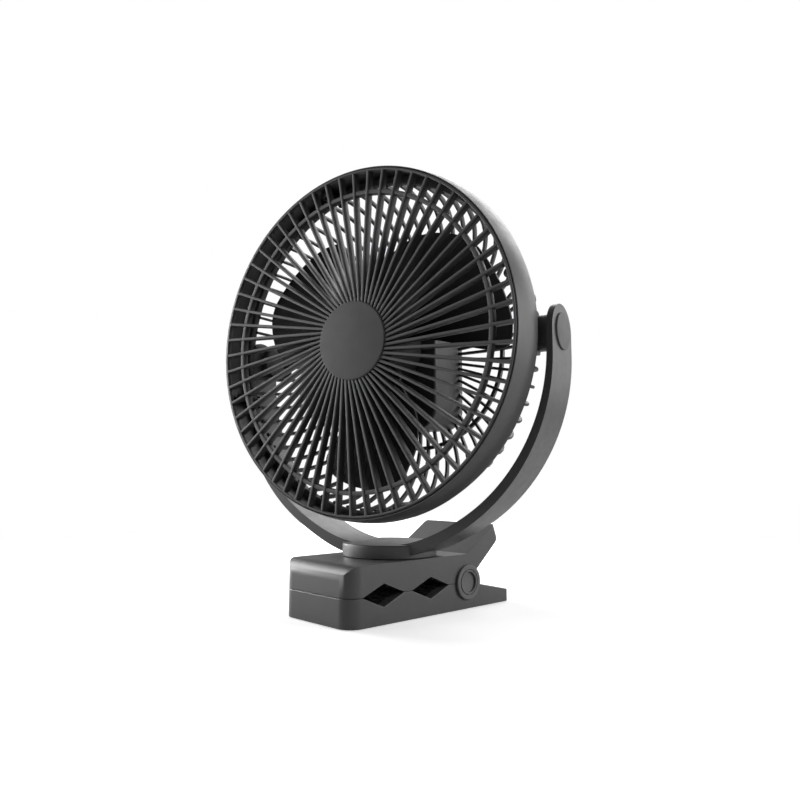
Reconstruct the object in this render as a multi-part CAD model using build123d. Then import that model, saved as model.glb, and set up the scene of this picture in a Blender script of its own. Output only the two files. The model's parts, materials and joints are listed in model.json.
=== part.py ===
from build123d import *
import math
import os

# Clip fan: an eight inch head that tilts in a U-shaped yoke, on a spring clip that also stands on a table.
# Millimetres. Origin where the swivel axis meets the ground; +Z up, -Y towards the clip's mouth,
# +X the clip's right.

os.makedirs("parts", exist_ok=True)

# clip
clip_width = 60.4
jaw_reach = 56.2            # swivel axis to the front of the jaws
tail_reach = 76.0           # swivel axis to the end of the lower tail
seam_height = 16.3          # where the two jaws meet
seam_gap = 0.3
clip_height = 33.0
corner_radius = 9.5         # upright front corners
nose_radius = 8.0           # top front edge
tail_corner_radius = 1.5
tail_end_height = 7.9
tail_root_height = 14.5
jaw_floor = 3.0
jaw_skin = 2.8              # thin moulded walls of the clip
diamond_centres = (-31.7, 4.8)
diamond_length = 30.0
diamond_height = 12.4
block_end = 25.0            # behind this both jaws are hollow
base_pad_size = (50.0, 96.0)
base_pad_thickness = 1.2
base_pad_proud = 0.4
base_pad_corner = 6.0
base_pad_shift = 4.0        # towards the mouth, clear of the thin tail end

# grip pads
grip_width = 48.0
grip_thickness = 2.0
grip_margin = 5.0           # bare jaw left in front of the pad
ridge_radius = 0.7
ridges_per_slope = 3

# clip hinge
hinge_y = 36.5
hinge_pin_radius = 2.5
running_clearance = 0.05
ear_radius = 9.0
ear_clearance = 0.4
lower_ear_radius = 7.5
lower_ear_thickness = 4.0
ear_side_gap = 0.6
upper_ear_outside = 29.8
upper_ear_inside = 25.6
hinge_cap_radius = 10.4
hinge_cap_height = 2.7
hinge_cap_ring = 2.3        # width of the raised outer ring
hinge_cap_recess = 1.0
hinge_cap_groove = 0.6

# handle
handle_root = (37.0, 33.0)
handle_tip_top = (65.0, 50.8)
handle_tip_low = (68.6, 42.0)
handle_underside_root = (46.7, 24.2)
handle_tip_round = 2.4
handle_corner_radius = 5.0
handle_skin = 3.0
handle_rib_width = 1.6
handle_rib_depth = 5.0
handle_rib_spread = 17.0

# clip spring
spring_wire_radius = 1.1
spring_coil_radius = 5.6
spring_pitch = 3.0
spring_whole_turns = 3
spring_wire_sides = 6
spring_low_reach = 23.0     # hinge to the lower leg's foot, along Y
spring_high_reach = 20.0    # hinge to the upper leg's end, along Y
spring_seat_gap = 0.05

# swivel
swivel_pad_radius = 28.4
swivel_gap = 0.3            # yoke pad above the clip
swivel_plate = 3.5          # clip's top wall at the swivel
swivel_boss_radius = 7.0
swivel_pocket_radius = 12.0
swivel_ring_inner = 20.0
swivel_ring_outer = 26.0
swivel_ring_thickness = 1.2
swivel_washer_radius = 11.0
swivel_washer_thickness = 1.0
swivel_screw_radius = 2.5
swivel_head_radius = 4.5
swivel_head_height = 2.6
swivel_head_break = 0.8
swivel_screw_length = 9.0

# yoke
head_side_gap = 2.5         # head's widest edge to the inside of the arms
yoke_arm_thickness = 3.5
yoke_width = 30.0
yoke_pad_thickness = 7.6
yoke_foot_rise = 1.5        # underside of the bow above the underside of its pad
yoke_arm_straight = 9.5     # straight part of each arm, up to the pivot
yoke_edge_break = 0.8
swivel_at_rest = 14.1       # the yoke and head face a little to the clip's right

# tilt pivots
pivot_drum_radius = 10.0
pivot_drum_inside = 94.0
pivot_washer_radius = 9.0
pivot_washer_thickness = 0.5
pivot_screw_radius = 2.0
pivot_screw_head_radius = 4.6
pivot_screw_head_height = 1.8
pivot_screw_head_gap = 0.3
pivot_screw_depth = 11.0
pivot_cap_radius = 10.2
pivot_cap_height = 1.5
pivot_cap_clearance = 0.2
pivot_cap_break = 0.7
pivot_pad_sweep = 12.0      # degrees of cage wall that carries each drum
pivot_pad_back = 13.0

# front grille; distances along the fan axis are measured forward from the pivot axis
rim_radius = 101.5
rim_width = 1.5
rim_front = 40.0
rim_depth = 3.0
rib_count = 60
rib_width = 1.7
rib_depth = 5.0
rib_offset = 5.75           # each rib passes this far beside the centre
rib_first_angle = 3.3
grille_ring_radius = 87.6
grille_ring_width = 2.5
grille_ring_depth = 4.0
grille_ring_sunk = 0.5      # ring below the ribs' front
grille_hub_radius = 22.0
grille_hub_back = 35.0
rib_root_overlap = 1.0
rib_shroud_gap = 0.2
cap_radius = 23.0
cap_back = 39.0
cap_front = 41.0
cap_edge_break = 0.5

# shroud band: its lip goes round the rim, and it widens towards the back
shroud_front_radius = 102.5
shroud_lip_width = 0.5
shroud_lip_sunk = 0.8       # lip's edge behind the rim's front
shroud_back = 21.0
shroud_back_radius = 105.2
shroud_bulge = 0.6          # how far the band swells past a straight cone
shroud_bulge_steps = 3
shroud_wall = 2.4
rim_boss_radius = 2.6
rim_boss_circle = 98.6
rim_boss_gap = 3.0          # boss end behind the rim
rim_boss_web = (5.0, 2.0)
rim_screw_count = 4
rim_screw_rib = 2.5         # first screw, in rib spaces from the first rear rib
rim_screw_radius = 1.2
rim_screw_head_radius = 2.2
rim_screw_head_height = 1.4
rim_screw_length = 10.0

# rear grille
rear_plane = -38.0
rear_rib_radius = 100.3     # outside of the ribs where they meet the flange
rear_rib_first_angle = 0.8
rear_rib_overlap = 1.0      # into the flange
rear_bend = 50.0
rear_bend_steps = 4
rear_rib_depth = 3.0
rear_rib_width = 1.8
rear_rib_root = 24.0
rear_ring_radius = 60.0
rear_ring_width = 2.4
rear_flange_depth = 4.5
rear_flange_inner = 98.7
rear_flange_outer = 104.0
pivot_pad_thickness = 2.0

# battery housing in the middle of the rear grille
housing_width = 60.0
housing_height = 98.0
housing_corner = 13.0
housing_front = -5.0
housing_wall = 2.4
cover_thickness = 3.0
cover_edge_break = 1.0
cover_lip = 1.5
cover_lip_clearance = 0.15
cover_screw_spread = (20.0, 42.0)
cover_post_radius = 3.2
cover_post_overlap = 1.0    # into the housing's front wall
cover_screw_radius = 1.25
cover_screw_head_radius = 2.4
cover_screw_head_height = 1.5
cover_screw_length = 11.0
cover_screw_sunk = 0.2

# inside the housing
cell_radius = 10.6
cell_length = 70.0
cell_spacing = 22.0
cell_cap_radius = 5.3
cell_cap_height = 0.8
cradle_end_gap = 1.0
cell_gap = 0.2
holder_size = (46.0, 74.0)
holder_depth = 13.0
board_size = (44.0, 68.0)
board_thickness = 1.6
chip_size = (7.0, 7.0, 1.0)
chip_place = (10.0, 8.0)
inductor_size = (8.0, 8.0, 2.4)
inductor_place = (-10.0, -10.0)
socket_size = (12.0, 5.0, 1.6)
socket_end_gap = 18.0       # socket above the board's lower end
port_size = (9.0, 3.3)
port_depth = 5.9
port_end_gap = 8.0          # middle of the port above the board's lower end
port_wall = 0.4
port_sunk = 0.6             # port's mouth inside the cover's face
port_tongue = (6.0, 0.7)
port_tongue_sunk = 0.8
port_recess = (12.0, 6.0)
port_recess_corner = 2.5
port_recess_depth = 1.2
lens_radius = 1.6
lens_height = 24.0
switch_size = 6.0
switch_height = 1.5
switch_clearance = 0.1
switch_plunger_radius = 1.7
button_radius = 7.0
button_clearance = 0.3
button_proud = 0.9
button_edge_break = 0.5
button_travel = 0.8
button_flange_radius = 8.4
button_flange_gap = 0.1
button_flange_thickness = 1.0

# impeller
hub_radius = 22.0
hub_wall = 1.8
hub_back = -1.5
hub_front = 30.0
hub_edge_round = 2.0
blade_count = 3
blade_tip_radius = 86.0
blade_tip_start = 8.0       # degrees, where the tip arc starts and ends
blade_tip_end = 34.0
blade_thickness = 1.8
blade_back = 2.0            # middle of the leading edge
blade_front = 29.5          # middle of the trailing edge
blade_camber = 0.10
blade_lead_angle = -9.0
blade_trail_angle = 84.0
blade_sections = 7
blade_margin = 4.0          # sheet past the outline that cuts it

# motor
shaft_radius = 1.5
shaft_end_gap = 0.5         # shaft's end inside the mount
shaft_in_nut = 2.6
rotor_radius = 20.0
rotor_wall = 1.0
rotor_back = 4.0
rotor_neck_wall = 2.0
rotor_neck_length = 3.0
magnet_thickness = 1.6
magnet_length = 14.0
magnet_overhang = 1.0       # magnets past the stator's back
stator_radius = 16.6
stator_back = 7.0
stator_front = 19.0
stator_slots = 9
slot_width = 3.4
slot_depth = 6.5
slot_mouth = 1.2
tooth_tip = 1.6             # depth of the teeth's tips
coil_thickness = 1.4
coil_end_room = 1.0
coil_side_room = 0.4
motor_tube_radius = 5.4
bearing_radius = 4.0
bearing_length = 4.0
bearing_inset = 1.0
motor_flange_radius = 17.0
motor_flange_thickness = 2.0
motor_tube_front = 22.0
motor_screw_circle = 13.0
motor_screw_radius = 1.25
motor_screw_head_radius = 2.3
motor_screw_head_height = 1.4
motor_screw_length = 4.0
hub_nut_radius = 4.0
hub_nut_height = 3.0

# worked out from the sizes above
half_clip = clip_width / 2
yoke_inner_radius = shroud_back_radius + head_side_gap
yoke_outer_radius = yoke_inner_radius + yoke_arm_thickness
yoke_pad_bottom = clip_height + swivel_gap
yoke_pad_top = yoke_pad_bottom + yoke_pad_thickness
yoke_inner_centre = yoke_pad_top + yoke_inner_radius
yoke_outer_centre = yoke_pad_bottom + yoke_foot_rise + yoke_outer_radius
pivot_height = yoke_inner_centre + yoke_arm_straight
boss_bottom = clip_height - swivel_plate - swivel_gap
arm_inside = yoke_inner_radius
arm_outside = yoke_outer_radius
drum_outside = arm_inside - pivot_washer_thickness
shroud_front = rim_front - rim_depth
lip_front = rim_front - shroud_lip_sunk
flange_back = shroud_back - rear_flange_depth
housing_inner_front = housing_front - housing_wall
cover_front = rear_plane
cover_back = rear_plane - cover_thickness
cell_middle = housing_inner_front - cell_gap - cell_radius
board_front = cell_middle - cell_gap - holder_depth
board_back = board_front - board_thickness
port_back = cover_back + port_sunk
port_height = port_end_gap - board_size[1] / 2
button_flange_front = cover_front + button_flange_gap + button_flange_thickness
rotor_front = hub_front - hub_wall
slot_middle = stator_radius - tooth_tip - slot_depth / 2

yoke_frame = Rot(0, 0, swivel_at_rest)
head_frame = Pos(0, 0, pivot_height) * Rot(0, 0, swivel_at_rest) * Rot(90, 0, 0)


def side_solid(points, half_width):
    return extrude(Plane.YZ * make_face(Polyline(*points, close=True)), half_width, both=True)


def x_cylinder(radius, start, end, y, z):
    return Pos((start + end) / 2, y, z) * Rot(0, 90, 0) * Cylinder(radius, end - start)


def z_cylinder(radius, low, high, x=0.0, y=0.0):
    return Pos(x, y, (low + high) / 2) * Cylinder(radius, high - low)


def tube(outer, inner, low, high):
    return z_cylinder(outer, low, high) - z_cylinder(inner, low, high)


def both_sides(solid):
    return [solid, mirror(solid, Plane.YZ)]


def across_hinge(radius):
    return x_cylinder(radius, -half_clip, half_clip, hinge_y, seam_height)


def mouth_line(side, start, end, offset=0.0):
    flat = seam_height + side * (seam_gap / 2 + offset)
    deep = seam_height + side * (diamond_height / 2 + offset)
    line = [(start, flat)]
    for centre in diamond_centres:
        line += [(centre - diamond_length / 2, flat), (centre, deep), (centre + diamond_length / 2, flat)]
    return line + [(end, flat)]


def clip_plan(back, back_radius):
    outline = Pos(0, (back - jaw_reach) / 2) * Rectangle(clip_width, back + jaw_reach)
    outline = fillet(outline.vertices().group_by(Axis.Y)[0], corner_radius)
    outline = fillet(outline.vertices().group_by(Axis.Y)[-1], back_radius)
    return extrude(outline, clip_height * 2)


def grip_solid(side):
    start = -jaw_reach + grip_margin
    top = mouth_line(side, start, block_end - 1)
    below = mouth_line(side, start, block_end - 1, grip_thickness)
    return side_solid(top + below[::-1], grip_width / 2)


def grip_ridges(side):
    ridges = []
    height = side * (diamond_height / 2 - seam_gap / 2)
    for centre in diamond_centres:
        for slope in (-1, 1):
            for i in range(ridges_per_slope):
                share = (i + 1) / (ridges_per_slope + 1)
                y = centre + slope * diamond_length / 2 * share
                z = seam_height + side * seam_gap / 2 + height * (1 - share)
                ridges.append(x_cylinder(ridge_radius, -grip_width / 2, grip_width / 2, y, z))
    return ridges


def make_base_pad():
    pad = extrude(RectangleRounded(*base_pad_size, base_pad_corner), base_pad_thickness)
    return Pos(0, (tail_reach - jaw_reach) / 2 - base_pad_shift, 0) * pad


def make_lower_jaw():
    bottom = base_pad_proud
    jaw = side_solid(
        mouth_line(-1, -jaw_reach, hinge_y)
        + [(hinge_y + ear_radius, tail_root_height), (tail_reach, tail_end_height)]
        + [(tail_reach, bottom), (-jaw_reach, bottom)],
        half_clip,
    )
    jaw = jaw & clip_plan(tail_reach, tail_corner_radius)
    inside = half_clip - jaw_skin
    tray = side_solid(
        [(block_end, jaw_floor), (tail_reach - jaw_skin, jaw_floor), (tail_reach - jaw_skin, clip_height),
         (block_end, clip_height)],
        inside,
    )
    jaw = jaw - tray - across_hinge(ear_radius + ear_clearance)
    ear_middle = upper_ear_inside - ear_side_gap - lower_ear_thickness / 2
    ear = Polyline(
        (hinge_y - ear_radius, jaw_floor), (hinge_y + ear_radius, jaw_floor),
        (hinge_y + lower_ear_radius, seam_height), (hinge_y - lower_ear_radius, seam_height), close=True,
    )
    ear = Plane.YZ * (make_face(ear) + Pos(hinge_y, seam_height) * Circle(lower_ear_radius))
    ear = Pos(ear_middle, 0, 0) * extrude(ear, lower_ear_thickness / 2, both=True)
    jaw = jaw + both_sides(ear)
    jaw = jaw - across_hinge(hinge_pin_radius)
    return jaw - grip_solid(-1) - make_base_pad()


def make_upper_jaw():
    flat = seam_height + seam_gap / 2
    points = mouth_line(1, -jaw_reach, hinge_y) + [
        handle_underside_root, handle_tip_low, handle_tip_top, handle_root, (-jaw_reach, clip_height)]
    outline = make_face(Polyline(*points, close=True))
    nose = outline.vertices().sort_by(Axis.X)[:2].sort_by(Axis.Y)[-1]
    outline = fillet(nose, nose_radius)
    tip = outline.vertices().sort_by(Axis.X)[-2:]
    outline = fillet(tip, handle_tip_round)
    jaw = extrude(Plane.YZ * outline, half_clip, both=True)
    jaw = jaw & clip_plan(handle_tip_low[0], handle_corner_radius)
    rise = math.atan2(handle_tip_top[1] - handle_root[1], handle_tip_top[0] - handle_root[0])
    drop = handle_skin / math.cos(rise)
    top = clip_height - jaw_skin
    ceiling_end = handle_tip_low[0] - 2 * handle_skin
    ceiling_height = handle_root[1] + (ceiling_end - handle_root[0]) * math.tan(rise) - drop
    ceiling_start = handle_root[0] + (top - handle_root[1] + drop) / math.tan(rise)
    hollow = side_solid(
        [(block_end, 0), (block_end, top), (ceiling_start, top), (ceiling_end, ceiling_height),
         (ceiling_end + handle_skin, 0)],
        upper_ear_inside,
    )
    ear = x_cylinder(ear_radius, upper_ear_inside, upper_ear_outside, hinge_y, seam_height)
    ear_face = x_cylinder(ear_radius + ear_clearance, upper_ear_outside, half_clip, hinge_y, seam_height)
    rib = side_solid(
        [(ceiling_start, top), (ceiling_end, ceiling_height),
         (ceiling_end, ceiling_height - handle_rib_depth),
         (ceiling_start + handle_rib_depth, top - handle_rib_depth / 4)],
        handle_rib_width / 2,
    )
    jaw = jaw - hollow + both_sides(ear) + both_sides(Pos(handle_rib_spread, 0, 0) * rib)
    jaw = jaw - both_sides(ear_face)
    jaw = jaw - across_hinge(hinge_pin_radius + running_clearance)
    jaw = jaw - z_cylinder(swivel_boss_radius + running_clearance, flat, clip_height)
    jaw = jaw - z_cylinder(swivel_pocket_radius, 0, clip_height - swivel_plate)
    seat = clip_height + swivel_gap - swivel_ring_thickness
    jaw = jaw - tube(swivel_ring_outer, swivel_ring_inner, seat, clip_height + 1)
    return jaw - grip_solid(1)


def make_hinge_cap():
    cap = x_cylinder(hinge_cap_radius, half_clip, half_clip + hinge_cap_height, hinge_y, seam_height)
    outer_edge = cap.edges().filter_by(GeomType.CIRCLE).sort_by(Axis.X)[-1]
    cap = chamfer(outer_edge, hinge_cap_groove)
    face = half_clip + hinge_cap_height
    inner = hinge_cap_radius - hinge_cap_ring
    core = inner - hinge_cap_groove
    groove = x_cylinder(inner, face - hinge_cap_recess, face, hinge_y, seam_height)
    groove = groove - x_cylinder(core, face - hinge_cap_recess, face, hinge_y, seam_height)
    dish = x_cylinder(core - hinge_cap_ring, face - hinge_cap_recess, face, hinge_y, seam_height)
    return cap - groove - dish


def helix_point(turn_angle, start_angle, x_start):
    angle = start_angle - turn_angle
    x = x_start + spring_pitch * turn_angle / (2 * math.pi)
    y = hinge_y + spring_coil_radius * math.cos(angle)
    return Vector(x, y, seam_height + spring_coil_radius * math.sin(angle))


def helix_tangent(turn_angle, start_angle):
    angle = start_angle - turn_angle
    lead = spring_pitch / (2 * math.pi * spring_coil_radius)
    return Vector(lead, math.sin(angle), -math.cos(angle)).normalized()


def biarc(p0, t0, p1, t1):
    gap = p1 - p0
    a = 2 * (1 - t0.dot(t1))
    b = 2 * gap.dot(t0 + t1)
    reach = (-b + math.sqrt(b * b + 4 * a * gap.dot(gap))) / (2 * a)
    c0 = p0 + t0 * reach
    c1 = p1 - t1 * reach
    middle = (c0 + c1) * 0.5
    return [TangentArc(p0, middle, tangent=t0), TangentArc(middle, p1, tangent=c1 - c0)]


def make_spring():
    foot_y = spring_low_reach
    foot_z = jaw_floor + spring_wire_radius + spring_seat_gap - seam_height
    low_distance = math.hypot(foot_y, foot_z)
    low_direction = math.atan2(foot_z, foot_y) + math.asin(spring_coil_radius / low_distance)
    start_angle = low_direction - math.pi / 2
    rise = math.atan2(handle_tip_top[1] - handle_root[1], handle_tip_top[0] - handle_root[0])
    ceiling = handle_root[1] + (hinge_y + spring_high_reach - handle_root[0]) * math.tan(rise)
    stand_off = (handle_skin + spring_wire_radius + spring_seat_gap) / math.cos(rise)
    high_z = ceiling - stand_off - seam_height
    high_distance = math.hypot(spring_high_reach, high_z)
    high_direction = math.atan2(high_z, spring_high_reach) - math.asin(spring_coil_radius / high_distance)
    end_angle = high_direction + math.pi / 2
    turned = start_angle - end_angle + 2 * math.pi * (spring_whole_turns + 1)
    low_leg = math.sqrt(low_distance ** 2 - spring_coil_radius ** 2)
    high_leg = math.sqrt(high_distance ** 2 - spring_coil_radius ** 2)
    x_start = -spring_pitch * turned / (4 * math.pi)
    steps = math.ceil(turned / (math.pi / 2))
    marks = [turned * i / steps for i in range(steps + 1)]
    points = [helix_point(m, start_angle, x_start) for m in marks]
    tangents = [helix_tangent(m, start_angle) for m in marks]
    edges = [Line(points[0] - tangents[0] * low_leg, points[0])]
    for i in range(steps):
        edges += biarc(points[i], tangents[i], points[i + 1], tangents[i + 1])
    edges.append(Line(points[-1], points[-1] + tangents[-1] * high_leg))
    path = Wire(edges)
    section = Plane(origin=path @ 0, z_dir=path % 0) * RegularPolygon(spring_wire_radius, spring_wire_sides)
    print("spring: turns", round(turned / (2 * math.pi), 2), "least gap between turns",
          round(spring_pitch - 2 * spring_wire_radius, 2), "measured", spring_gap(path))
    return sweep(section, path=path)


def spring_gap(path):
    count = 600
    samples = [path @ (i / count) for i in range(count + 1)]
    apart = int(math.pi * spring_coil_radius * count / path.length)
    least = min(
        (samples[i] - samples[j]).length
        for i in range(0, count + 1, 2) for j in range(i + apart, count + 1, 2)
    )
    return round(least - 2 * spring_wire_radius, 2)


def make_swivel_ring():
    top = clip_height + swivel_gap
    return tube(swivel_ring_outer, swivel_ring_inner, top - swivel_ring_thickness, top)


def yoke_profile():
    outer = Pos(0, yoke_outer_centre) * Circle(yoke_outer_radius)
    inner = Pos(0, yoke_inner_centre) * Circle(yoke_inner_radius)
    tall = pivot_height + yoke_width
    outer = outer + Pos(0, yoke_outer_centre + tall / 2) * Rectangle(2 * yoke_outer_radius, tall)
    inner = inner + Pos(0, yoke_inner_centre + tall) * Rectangle(2 * yoke_inner_radius, 2 * tall)
    return outer - inner


def make_yoke():
    band = extrude(Plane.XZ * yoke_profile(), yoke_width / 2, both=True)
    arm_end = Pos(0, pivot_height / 2) * Rectangle(yoke_width, pivot_height)
    arm_end = arm_end + Pos(0, pivot_height) * Circle(yoke_width / 2)
    band = band & extrude(Plane.YZ * arm_end, 2 * yoke_outer_radius, both=True)
    band = chamfer(band.edges().filter_by(GeomType.LINE, reverse=True), yoke_edge_break)
    pad = z_cylinder(swivel_pad_radius, yoke_pad_bottom, yoke_pad_top)
    rims = pad.edges().filter_by(GeomType.CIRCLE)
    pad = chamfer(rims, yoke_edge_break)
    yoke = band + pad + z_cylinder(swivel_boss_radius, boss_bottom, yoke_pad_bottom + 1)
    yoke = yoke - z_cylinder(swivel_screw_radius, 0, boss_bottom + swivel_screw_length)
    bore = x_cylinder(pivot_screw_radius + running_clearance, arm_inside, arm_outside, 0, pivot_height)
    seat = arm_outside - pivot_screw_head_height - pivot_cap_clearance
    counterbore = x_cylinder(
        pivot_screw_head_radius + pivot_screw_head_gap, seat, arm_outside, 0, pivot_height)
    return yoke - both_sides(bore) - both_sides(counterbore)


def make_swivel_screw():
    top = boss_bottom - swivel_washer_thickness
    head = z_cylinder(swivel_head_radius, top - swivel_head_height, top)
    head = chamfer(head.edges().sort_by(Axis.Z)[0], swivel_head_break)
    return head + z_cylinder(swivel_screw_radius, top, boss_bottom + swivel_screw_length)


def make_swivel_washer():
    back = boss_bottom - swivel_washer_thickness
    return tube(swivel_washer_radius, swivel_screw_radius, back, boss_bottom)


def make_pivot_washer():
    washer = x_cylinder(pivot_washer_radius, drum_outside, arm_inside, 0, pivot_height)
    bore = pivot_screw_radius + running_clearance
    return washer - x_cylinder(bore, drum_outside, arm_inside, 0, pivot_height)


def make_pivot_cap():
    cap = x_cylinder(pivot_cap_radius, arm_outside, arm_outside + pivot_cap_height, 0, pivot_height)
    return chamfer(cap.edges().filter_by(GeomType.CIRCLE).sort_by(Axis.X)[-1], pivot_cap_break)


def make_pivot_screw():
    seat = arm_outside - pivot_screw_head_height - pivot_cap_clearance
    head = x_cylinder(pivot_screw_head_radius, seat, seat + pivot_screw_head_height, 0, 0)
    return head + x_cylinder(pivot_screw_radius, drum_outside - pivot_screw_depth, seat, 0, 0)


def ring(radius, width, back, front):
    return tube(radius + width / 2, radius - width / 2, back, front)


def make_front_grille():
    inner = math.sqrt((grille_hub_radius - rib_root_overlap) ** 2 - rib_offset ** 2)
    outer = math.sqrt((rim_radius - rim_width / 2) ** 2 - rib_offset ** 2)
    bar = Box(outer - inner, rib_width, rib_depth)
    bar = Pos((inner + outer) / 2, -rib_offset, rim_front - rib_depth / 2) * bar
    ribs = [Rot(0, 0, rib_first_angle + i * 360 / rib_count) * bar for i in range(rib_count)]
    rim = tube(rim_radius, rim_radius - rim_width, shroud_front, rim_front)
    ring_front = rim_front - grille_ring_sunk
    middle = ring(grille_ring_radius, grille_ring_width, ring_front - grille_ring_depth, ring_front)
    hub = z_cylinder(grille_hub_radius, grille_hub_back, cap_back)
    grille = rim + ribs + [middle, hub]
    outside_hub = z_cylinder(cap_radius, cap_back, cap_front)
    seat_radius = shroud_line(shroud_front, shroud_wall)[0][0]
    shroud_room = tube(shroud_front_radius, seat_radius - rib_shroud_gap, shroud_back, shroud_front)
    return grille - outside_hub - shroud_room


def make_front_cap():
    cap = z_cylinder(cap_radius, cap_back, cap_front)
    return chamfer(cap.edges().sort_by(Axis.Z)[-1], cap_edge_break)


def rim_screw_places():
    for i in range(rim_screw_count):
        angle = rear_rib_first_angle + rim_screw_rib * 360 / rib_count + i * 360 / rim_screw_count
        yield Rot(0, 0, angle) * Pos(rim_boss_circle, 0, 0)


def shroud_line(front, inset):
    points = []
    for i in range(shroud_bulge_steps + 1):
        height = front + (shroud_back - front) * i / shroud_bulge_steps
        share = (lip_front - height) / (lip_front - shroud_back)
        radius = shroud_front_radius + (shroud_back_radius - shroud_front_radius) * share
        points.append((radius + shroud_bulge * math.sin(math.pi * share) - inset, height))
    return points


def make_shroud():
    lip_inner = shroud_front_radius - shroud_lip_width
    lip = [(lip_inner, shroud_front), (lip_inner, lip_front)]
    inside = shroud_line(shroud_front, shroud_wall)[::-1]
    profile = make_face(Polyline(*shroud_line(lip_front, 0), *inside, *lip, close=True))
    band = revolve(Plane.XZ * profile, Axis.Z)
    boss_front = shroud_front - rim_boss_gap
    length, width = rim_boss_web
    web = Pos(length / 2, 0, (shroud_back + boss_front) / 2) * Box(length, width, boss_front - shroud_back)
    boss = z_cylinder(rim_boss_radius, shroud_back, boss_front) + web
    bored = boss - z_cylinder(rim_screw_radius, shroud_back, shroud_back + rim_screw_length)
    return band + [place * bored for place in rim_screw_places()]


def bend_points(radius):
    middle = (rear_rib_radius - rear_bend, rear_plane + rear_bend)
    angles = [math.radians(-90 + 90 * i / rear_bend_steps) for i in range(rear_bend_steps + 1)]
    return [(middle[0] + radius * math.cos(a), middle[1] + radius * math.sin(a)) for a in angles]


def rear_rib_section():
    back = rear_plane
    front = flange_back + rear_rib_overlap
    outer = rear_rib_radius
    inner = outer - rear_rib_depth
    outer_bend = bend_points(rear_bend)
    inner_bend = bend_points(rear_bend - rear_rib_depth)
    points = [(rear_rib_root, back)] + outer_bend + [(outer, front), (inner, front)]
    points += inner_bend[::-1] + [(rear_rib_root, back + rear_rib_depth)]
    return make_face(Polyline(*points, close=True))


def housing_outline(shrink=0.0):
    return RectangleRounded(
        housing_width - 2 * shrink, housing_height - 2 * shrink, housing_corner - shrink)


def cover_posts(radius, back, front):
    x, y = cover_screw_spread
    return [z_cylinder(radius, back, front, sx * x, sy * y) for sx in (-1, 1) for sy in (-1, 1)]


def motor_screw_places():
    for i in range(3):
        angle = math.radians(90 + i * 120)
        yield motor_screw_circle * math.cos(angle), motor_screw_circle * math.sin(angle)


def make_rear_grille():
    rib = extrude(Plane.XZ * rear_rib_section(), rear_rib_width / 2, both=True)
    ribs = [Rot(0, 0, rear_rib_first_angle + i * 360 / rib_count) * rib for i in range(rib_count)]
    flange = tube(rear_flange_outer, rear_flange_inner, flange_back, shroud_back)
    lug = z_cylinder(rim_boss_radius, flange_back, shroud_back)
    lugs = [place * lug for place in rim_screw_places()]
    middle = ring(rear_ring_radius, rear_ring_width, rear_plane, rear_plane + rear_rib_depth)
    wall = rear_rib_section() & Pos(
        rear_rib_radius - rear_rib_depth, (shroud_back - pivot_pad_back) / 2) * Rectangle(
        2 * rear_bend, shroud_back + pivot_pad_back)
    wall = wall - Pos(rear_rib_depth - pivot_pad_thickness, 0) * wall
    wall = Plane.XZ * wall
    pads = [
        Rot(0, 0, side - pivot_pad_sweep / 2) * revolve(wall, Axis.Z, pivot_pad_sweep) for side in (0, 180)]
    drum = x_cylinder(pivot_drum_radius, pivot_drum_inside, drum_outside, 0, 0)
    cage = flange + ribs + lugs + [middle] + pads + both_sides(drum)
    depth = housing_front - rear_plane
    box = Pos(0, 0, rear_plane) * extrude(housing_outline(), depth)
    hollow = Pos(0, 0, rear_plane) * extrude(housing_outline(housing_wall), depth - housing_wall)
    post_front = housing_inner_front + cover_post_overlap
    cage = cage - box + (box - hollow) + cover_posts(cover_post_radius, rear_plane + cover_lip, post_front)
    holes = cover_posts(cover_screw_radius, rear_plane, rear_plane + cover_screw_length - cover_thickness)
    holes += [z_cylinder(motor_screw_radius, housing_inner_front, housing_front, x, y)
              for x, y in motor_screw_places()]
    holes += [place * z_cylinder(rim_screw_radius, 0, shroud_back) for place in rim_screw_places()]
    pivot_bore = x_cylinder(pivot_screw_radius, drum_outside - pivot_screw_depth, drum_outside, 0, 0)
    holes += both_sides(pivot_bore)
    return cage - holes


def make_rear_cover():
    cover = Pos(0, 0, cover_back) * extrude(housing_outline(), cover_thickness)
    cover = chamfer(cover.edges().group_by(Axis.Z)[0], cover_edge_break)
    lip_shrink = housing_wall + cover_lip_clearance
    lip = housing_outline(lip_shrink) - housing_outline(lip_shrink + cover_lip)
    cover = cover + Pos(0, 0, cover_front) * extrude(lip, cover_lip)
    for head in cover_posts(cover_screw_head_radius, cover_back, cover_back + cover_screw_head_height):
        cover = cover - head
    for shank in cover_posts(cover_screw_radius, cover_back, cover_front):
        cover = cover - shank
    cover = cover - z_cylinder(button_radius + button_clearance, cover_back, cover_front)
    cover = cover - z_cylinder(lens_radius, cover_back, cover_front, 0, lens_height)
    recess = extrude(RectangleRounded(*port_recess, port_recess_corner), port_recess_depth)
    recess = Pos(0, port_height, cover_back) * recess
    port = Pos(0, port_height, cover_back) * extrude(SlotOverall(*port_size), cover_thickness)
    return cover - recess - port


def make_cover_screws():
    x, y = cover_screw_spread
    seat = cover_back + cover_screw_head_height
    head = z_cylinder(cover_screw_head_radius, cover_back + cover_screw_sunk, seat)
    screw = head + z_cylinder(cover_screw_radius, seat, cover_back + cover_screw_length)
    return [Pos(sx * x, sy * y, 0) * screw for sx in (-1, 1) for sy in (-1, 1)]


def make_rim_screws():
    head = z_cylinder(rim_screw_head_radius, flange_back - rim_screw_head_height, flange_back)
    screw = head + z_cylinder(rim_screw_radius, flange_back, flange_back + rim_screw_length)
    return [place * screw for place in rim_screw_places()]


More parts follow.
